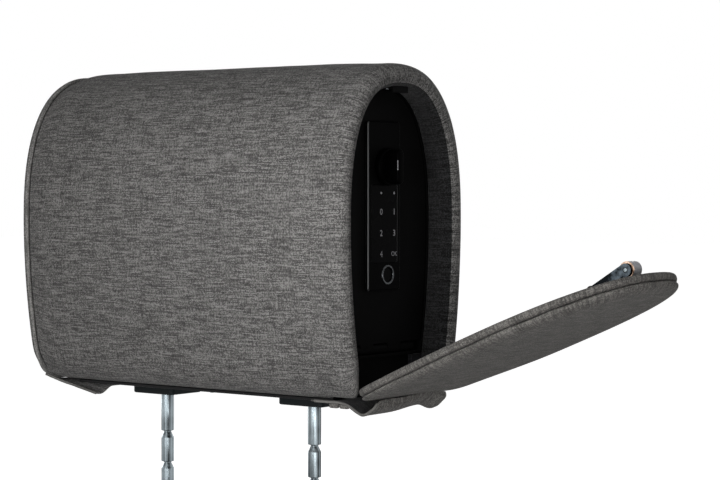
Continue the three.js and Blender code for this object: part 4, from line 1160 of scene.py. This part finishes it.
arm = eased("catch_arm", [BLUED, STEEL], "arm", "black_steel", 0.0006)
second_finish(arm, lambda face: abs(face.normal.y) < 0.98)
panel = eased("keypad_panel", [PLASTIC, EDGE_HIGHLIGHT_GREY], "door", "black_plastic", 0.0001)
# painted highlight: the bevels along the panel's sides take the lighter grey
second_finish(panel, lambda face: 0.2 < abs(face.normal.x) < 0.98 and abs(face.normal.y) > 0.2)


# Turned pieces

NOTCH_FIRST = 0.0298
NOTCH_PITCH = 0.02415
NOTCH_COUNT = 5
POST_RADIUS = 0.005
POST_NECK = 0.0029


def post_profile():
    """A post with a blunt foot, square-topped notches and a stud above the bracket."""
    points = [(0, FLOOR_LEVEL), (0.003, FLOOR_LEVEL), (POST_RADIUS, FLOOR_LEVEL + 0.0022)]
    for number in reversed(range(NOTCH_COUNT)):
        top = -NOTCH_FIRST - number * NOTCH_PITCH
        points += [(POST_RADIUS, top - 0.0055), (POST_NECK, top - 0.0010)]
        points += [(POST_NECK + 0.0001, top - 0.0004), (POST_RADIUS - 0.0003, top)]
        points.append((POST_RADIUS, top + 0.0003))
    points += [(POST_RADIUS, 0.0072), (0.004, 0.0072), (0.004, 0.024), (0.003, 0.025), (0, 0.025)]
    return rounded(points, 0.0002, 2)


def turned(node, profile, centre, axis, finish, body, steps=48):
    """A spun piece standing for its node."""
    bm = spun(profile, centre, axis, steps)
    piece = finished(node + "_turned", bm, finish, body, sharp=35)
    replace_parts(piece, node)
    return piece


def ring_profile(inner, outer, low, high, ease):
    """A closed profile of a plain ring with eased edges."""
    points = [
        (inner, low + ease), (inner + ease, low), (outer - ease, low), (outer, low + ease),
        (outer, high - ease), (outer - ease, high), (inner + ease, high), (inner, high - ease),
    ]
    return points + points[:1]


WASHER_Z = 0.0130
WASHER = ring_profile(0.0043, 0.009, WASHER_Z, WASHER_Z + 0.0016, 0.0002)

for side, x in (("left", -POST_X), ("right", POST_X)):
    body = side + "_post"
    turned("post_" + side, post_profile(), (x, 0, 0), UP, CHROME, body, 64)
    turned("washer_" + side, WASHER, (x, 0, 0), UP, ZINC, body)
    eased("nut_" + side, ZINC, body, "zinc", 0.0004)

PANEL_FRONT = 0.139
READER = (PANEL_FRONT, 0.004, 0.0972)
READER_SINK = -0.002
KNOB_Y = 0.001
KNOB_Z = 0.1747
HINGE_LINE = (0.1323, 0, 0.0437)


def plain_pin(radius, low, high):
    """A plain round pin with eased ends."""
    return rounded([(0, low), (radius, low), (radius, high), (0, high)], 0.0003)


ring = ring_profile(0.00555, 0.00715, READER_SINK, 0.0005, 0.0003)
turned("fingerprint_ring", ring, READER, ALONG_X, RING, "door", 64)
sensor = [
    (0, READER_SINK), (0.00525, READER_SINK), (0.00525, -0.0006), (0.0050, -0.0004), (0, -0.0006),
]
turned("fingerprint_sensor", sensor, READER, ALONG_X, GLOSS, "door")
spindle = plain_pin(0.003, 0.1280, 0.1427)
turned("knob_spindle", spindle, (0, KNOB_Y, KNOB_Z), ALONG_X, CHROME, "knob_set")
hinge_pin = plain_pin(0.0015, -0.03994, 0.03994)
turned("hinge_pin", hinge_pin, HINGE_LINE, ALONG_Y, CHROME, "headrest", 24)


KNOB_BACK = 0.1393
KNOB_THICK = 0.005
KNOB_FRONT = KNOB_BACK + KNOB_THICK
KNOB_RADIUS = 0.0136
FLUTES = 32
FLUTE_DEPTH = 0.018
GRIP_SIZE = (0.0102, 0.0070, 0.0248)
GRIP_GLINT_SPAN = (-0.0023, 0.0046)


def make_disc():
    """The knob's disc, with a finely fluted rim."""
    profile = [
        (0.0033, 0), (0.0128, 0), (KNOB_RADIUS, 0.0008), (KNOB_RADIUS, KNOB_THICK - 0.0012),
        (0.0127, KNOB_THICK - 0.0002), (0.0118, KNOB_THICK), (0, KNOB_THICK),
    ]
    bm = spun(profile, (KNOB_BACK, KNOB_Y, KNOB_Z), ALONG_X, 96)
    for vert in bm.verts:
        flat = Vector((vert.co.y - KNOB_Y, vert.co.z - KNOB_Z))
        if flat.length > KNOB_RADIUS - 0.0002:
            angle = math.atan2(flat.y, flat.x)
            flute = 1 - FLUTE_DEPTH * (0.5 + 0.5 * math.cos(angle * FLUTES))
            vert.co.y = KNOB_Y + flat.x * flute
            vert.co.z = KNOB_Z + flat.y * flute
    disc = finished("knob_disc", bm, KNOB_BLACK, "knob_set", sharp=40)
    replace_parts(disc, "knob")


def make_grip():
    """The rounded bar across the knob, with a painted highlight of pale ink on its near edge."""
    grip = bmesh.new()
    bmesh.ops.create_cube(grip, size=1)
    bmesh.ops.scale(grip, vec=GRIP_SIZE, verts=grip.verts)
    place = (KNOB_FRONT - 0.0012 + GRIP_SIZE[0] / 2, KNOB_Y, KNOB_Z)
    bmesh.ops.translate(grip, vec=place, verts=grip.verts)
    uprights = [e for e in grip.edges if abs((e.verts[0].co - e.verts[1].co).normalized().x) > 0.9]
    bevelled(grip, uprights, 0.0033, 8)
    top = [e for e in grip.edges if all(v.co.x > KNOB_FRONT + 0.008 for v in e.verts)]
    bevelled(grip, top, 0.0012, 4)
    for height in GRIP_GLINT_SPAN:
        bmesh.ops.bisect_plane(
            grip, geom=list(grip.verts) + list(grip.edges) + list(grip.faces),
            plane_co=(0, 0, KNOB_Z + height), plane_no=UP,
        )
    # painted highlight: pale ink on the near bevel between these heights
    for face in grip.faces:
        middle = face.calc_center_median()
        on_edge = 0.3 < face.normal.x < 0.7 and face.normal.y < -0.3
        if on_edge and GRIP_GLINT_SPAN[0] < middle.z - KNOB_Z < GRIP_GLINT_SPAN[1]:
            face.material_index = 1
    finished("knob_grip", grip, [KNOB_BLACK, INK], "knob_set", sharp=40)


make_disc()
make_grip()


# Roller catch on the flap

ARM_X = 0.1536
ARM_Z = 0.1920
ARM_PIVOT = OPENED @ Vector((ARM_X, 0, ARM_Z))
ROLLER_PLACE = OPENED @ Vector((0.1501, 0, 0.2208))
ROLLER_BORE = 0.0032
ROLLER_SHOULDER = 0.0050
ROLLER_RADIUS = 0.00575
BUSH_BORE = 0.0018
BUSH_HALF = 0.0055
FACE_LEVEL = 0.00505


def headed(radius, half, head, thick):
    """A pin with a flat head at both ends."""
    return rounded([
        (0, -half - thick), (head, -half - thick), (head, -half), (radius, -half),
        (radius, half), (head, half), (head, half + thick), (0, half + thick),
    ], 0.00025)


pivot = headed(0.0012, 0.0094, 0.0021, 0.0006)
turned("catch_pivot_pin", pivot, ARM_PIVOT, ALONG_Y, CHROME, "flap", 32)
turned("roller_pin", plain_pin(0.0015, -0.0073, 0.0073), ROLLER_PLACE, ALONG_Y, CHROME, "arm", 32)
roller = [
    (ROLLER_BORE, -0.0047), (0.0050, -0.0047), (0.0050, -BUSH_HALF), (0.0053, -BUSH_HALF),
    (ROLLER_RADIUS, -ROLLER_SHOULDER), (ROLLER_RADIUS, ROLLER_SHOULDER), (0.0053, BUSH_HALF),
    (0.0036, BUSH_HALF), (ROLLER_BORE, 0.0051), (ROLLER_BORE, -0.0047),
]
wheel = turned("roller", roller, ROLLER_PLACE, ALONG_Y, [NYLON, BRASS], "roller_set", 64)
second_finish(wheel, lambda face: abs(face.center.y) > FACE_LEVEL)
bush = [
    (BUSH_BORE, -BUSH_HALF), (0.0047, -BUSH_HALF), (0.0047, -0.0050), (0.0029, -0.0050),
    (0.0029, BUSH_HALF), (BUSH_BORE, BUSH_HALF), (BUSH_BORE, -BUSH_HALF),
]
turned("roller_bush", bush, ROLLER_PLACE, ALONG_Y, BRASS, "roller_set", 64)


def wire(name, points, radius, finish, body, node):
    """A round wire through points."""
    curve = bpy.data.curves.new(name, "CURVE")
    curve.dimensions = "3D"
    curve.bevel_depth = radius
    curve.bevel_resolution = 3
    curve.use_fill_caps = True
    line = curve.splines.new("POLY")
    line.points.add(len(points) - 1)
    for point, place in zip(line.points, points):
        point.co = (*place, 1)
    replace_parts(finished(name, curve_shape(name, curve), finish, body), node)


SPRING_RADIUS = 0.0021
SPRING_TURNS = 5
SPRING_PITCH = 0.0013
SPRING_TAILS = (0.0045, 0.007)
TURN_STEPS = 20


def spring_points():
    """A close coil round the pivot with a straight tail at each end."""
    reach = SPRING_TURNS * SPRING_PITCH
    points = [(ARM_X + SPRING_RADIUS, -reach / 2, ARM_Z - SPRING_TAILS[0])]
    count = TURN_STEPS * SPRING_TURNS
    for step in range(count + 1):
        share = step / count
        angle = 2 * math.pi * SPRING_TURNS * share
        points.append((
            ARM_X + SPRING_RADIUS * math.cos(angle),
            (share - 0.5) * SPRING_TURNS * SPRING_PITCH,
            ARM_Z + SPRING_RADIUS * math.sin(angle),
        ))
    points.append((ARM_X + SPRING_RADIUS, reach / 2, ARM_Z + SPRING_TAILS[1]))
    return [OPENED @ Vector(point) for point in points]


wire("torsion_spring_wire", spring_points(), 0.0004, CHROME, "arm", "catch_spring")


# Fasteners: small domed screws with a hexagon socket


def screw(name, place, axis, radius, body):
    head = radius * 0.55
    profile = [
        (0, -radius * 0.4), (radius * 0.5, -radius * 0.4), (radius * 0.5, 0), (radius, 0),
        (radius, head * 0.25), (radius * 0.86, head * 0.72), (radius * 0.55, head),
        (radius * 0.50, head), (radius * 0.46, head * 0.25), (0, head * 0.2),
    ]
    bm = spun(profile, (0, 0, 0), UP, 24)
    for vert in bm.verts:
        flat = Vector((vert.co.x, vert.co.y))
        if radius * 0.1 < flat.length < radius * 0.52 and vert.co.z > 0:
            angle = math.atan2(flat.y, flat.x) % (math.pi / 3) - math.pi / 6
            vert.co.x *= math.cos(math.pi / 6) / math.cos(angle)
            vert.co.y *= math.cos(math.pi / 6) / math.cos(angle)
    bmesh.ops.transform(bm, matrix=Matrix.Translation(place) @ turned_to(axis), verts=bm.verts)
    finished(name, bm, ZINC, body, sharp=30)


LEAF_SCREW_X = 0.1185
LEAF_TOP = 0.0419
CLAMP_SCREW_X = 0.1165
CLAMP_UNDER = 0.0065
BASE_SCREW_Y = 0.030
BASE_UNDER = 0.0078
LOCK_SCREWS = ((-0.022, 0.206), (0.022, 0.206), (-0.022, 0.100), (0.022, 0.100))
HOUSING_BACK = 0.1088
CATCH_PLATE_FRONT = 0.1567
CATCH_SCREWS = ((0.1876, 0.0062), (0.2117, 0.0030))
STRIKE_SCREW = (0.1452, 0.0052, 0.2305)
STRIKE_LEAN = 0.02

for number, y in enumerate((-0.030, 0.0, 0.030)):
    screw(f"hinge_screw_{number}", (LEAF_SCREW_X, y, LEAF_TOP), UP, 0.0022, "headrest")
    screw(f"strap_screw_{number}", (CLAMP_SCREW_X, y * 0.9, CLAMP_UNDER), DOWN, 0.0022, "headrest")
for number, x in enumerate((-0.120, 0.0, 0.098)):
    for half, side in SIDES:
        place = (x, side * BASE_SCREW_Y, BASE_UNDER)
        screw(f"base_screw_{number}_{half}", place, DOWN, 0.0026, "headrest")
for number, (y, z) in enumerate(LOCK_SCREWS):
    screw(f"lock_screw_{number}", (HOUSING_BACK, y, z), (-1, 0, 0), 0.0020, "door")
flap_inward = OPENED.to_3x3() @ Vector((-1, 0, 0))
for number, (z, apart) in enumerate(CATCH_SCREWS):
    for half, side in SIDES:
        place = OPENED @ Vector((CATCH_PLATE_FRONT, side * apart, z))
        screw(f"catch_screw_{number}_{half}", place, flap_inward, 0.0011, "flap")
for half, side in SIDES:
    place = (STRIKE_SCREW[0], side * STRIKE_SCREW[1], STRIKE_SCREW[2])
    screw(f"strike_screw_{half}", place, (0, side * STRIKE_LEAN, -1), 0.0016, "headrest")


# Characters and lights on the touch pad, plain and generic

KEY_COLUMNS = (-0.0037, 0.0116)
KEY_ROWS = ((0.1423, ("0", "1")), (0.1270, ("2", "3")), (0.1120, ("4", "OK")))
DIGIT_SIZE = 0.0062
WORD_SIZE = 0.0046
LIGHTS_Z = 0.1560
PRINT_THICK = 0.00004
DOT = [(0, -0.0002), (0.0009, -0.0002), (0.0009, 0.0001), (0.0006, 0.0003), (0, 0.0003)]


def printed(name, text, y, z, size):
    curve = bpy.data.curves.new(name, "FONT")
    curve.body = text
    curve.size = size
    curve.align_x = "CENTER"
    curve.align_y = "CENTER"
    curve.extrude = PRINT_THICK
    bm = curve_shape(name, curve)
    stand = Matrix(((0, 0, 1, PANEL_FRONT + 0.00005), (1, 0, 0, y), (0, 1, 0, z), (0, 0, 0, 1)))
    bmesh.ops.transform(bm, matrix=stand, verts=bm.verts)
    finished(name, bm, INK, "door", smooth=False)


for z, labels in KEY_ROWS:
    for y, label in zip(KEY_COLUMNS, labels):
        printed("key_" + label.lower(), label, y, z, DIGIT_SIZE if len(label) == 1 else WORD_SIZE)

for side, y in zip(("left", "right"), KEY_COLUMNS):
    dot = spun(DOT, (PANEL_FRONT, y, LIGHTS_Z), ALONG_X, 24)
    finished("status_light_" + side, dot, INK, "door")


# Floor, backdrop and soft light


def stage_material():
    """A pale floor that glows white further out and dimmer near the object, painted shade round it besides
    its cast shadow; clear from below.
    """
    finish = Finish("pale_floor", (0.34, 0.34, 0.34), 0.9, specular=0.0)
    reach = finish.add(
        "ShaderNodeVectorMath", {0: finish.object_space()}, operation="LENGTH"
    ).outputs["Value"]
    # painted shade: the glow fades near the object, so the floor there is greyer
    far = finish.spread(reach, 0.55, 1.0, 0.35, 0.75)
    finish.shader.inputs["Emission Color"].default_value = (1, 1, 1, 1)
    finish.feed("Emission Strength", finish.maths("MULTIPLY", finish.seen_directly(), far))
    below = finish.add("ShaderNodeNewGeometry").outputs["Backfacing"]
    clear = finish.add("ShaderNodeBsdfTransparent").outputs["BSDF"]
    seen = finish.add("ShaderNodeMixShader", {0: below, 1: finish.shader.outputs["BSDF"], 2: clear})
    surface = finish.tree.nodes["Material Output"].inputs["Surface"]
    finish.tree.links.new(seen.outputs["Shader"], surface)
    return finish.material


def make_floor():
    bm = bmesh.new()
    bmesh.ops.create_grid(bm, x_segments=24, y_segments=24, size=9)
    bmesh.ops.translate(bm, vec=(0, 0, FLOOR_LEVEL), verts=bm.verts)
    mesh = bpy.data.meshes.new("floor")
    bm.to_mesh(mesh)
    bm.free()
    mesh.materials.append(stage_material())
    in_scene("floor", mesh)


AMBIENT = 0.09
POOL_SOFTNESS = 0.12


def light(name, kind, place, aim, power):
    """A light at a place, aimed at another."""
    data = bpy.data.lights.new(name, kind)
    data.energy = power
    holder = in_scene(name, data)
    holder.location = place
    holder.rotation_euler = (Vector(aim) - Vector(place)).to_track_quat("-Z", "Y").to_euler()
    return data


def lamp(name, place, size, power, aim=(0.05, 0, 0.10)):
    """A soft rectangular light."""
    data = light(name, "AREA", place, aim, power)
    data.shape = "RECTANGLE"
    data.size = size[0]
    data.size_y = size[1]


def spot(name, place, aim, power, cone):
    """A soft-edged pool of light, its cone in degrees."""
    data = light(name, "SPOT", place, aim, power)
    data.spot_size = math.radians(cone)
    data.spot_blend = 1.0
    data.shadow_soft_size = POOL_SOFTNESS


def make_world():
    """White where it is seen directly, and a dim even light for everything else."""
    world = bpy.data.worlds.new("studio")
    bpy.context.scene.world = world
    world.use_nodes = True
    nodes = Nodes(world.node_tree)
    nodes.tree.nodes.clear()
    seen = nodes.seen_directly()
    soft = nodes.add("ShaderNodeBackground", {"Color": (1, 1, 1, 1), "Strength": AMBIENT})
    white = nodes.add("ShaderNodeBackground", {"Color": (1, 1, 1, 1), "Strength": 1.0})
    mix = nodes.add("ShaderNodeMixShader", {0: seen, 1: soft.outputs[0], 2: white.outputs[0]})
    nodes.add("ShaderNodeOutputWorld", {"Surface": mix.outputs[0]})


make_floor()
make_world()
lamp("key_softbox", (0.40, -0.85, 0.16), (0.45, 0.40), 2.6, (0.02, -0.05, 0.12))
lamp("front_softbox", (-0.5, -2.2, 0.16), (1.0, 0.6), 3.2)
lamp("end_softbox", (-1.3, 0.22, 0.12), (0.6, 0.5), 4.2)
lamp("flap_softbox", (0.95, -0.75, -0.06), (0.4, 0.3), 3.6, (0.30, 0, 0.05))
lamp("rear_softbox", (-0.25, 1.05, 0.40), (0.6, 0.45), 6.5, (-0.02, 0.05, 0.12))
spot("right_pool", (0.34, -0.95, 0.15), (0.128, -0.07, 0.148), 15.5, 19)
spot("left_pool", (-0.10, -1.00, 0.15), (-0.060, -0.07, 0.145), 7.0, 21)
bpy.context.scene.view_settings.view_transform = "Standard"
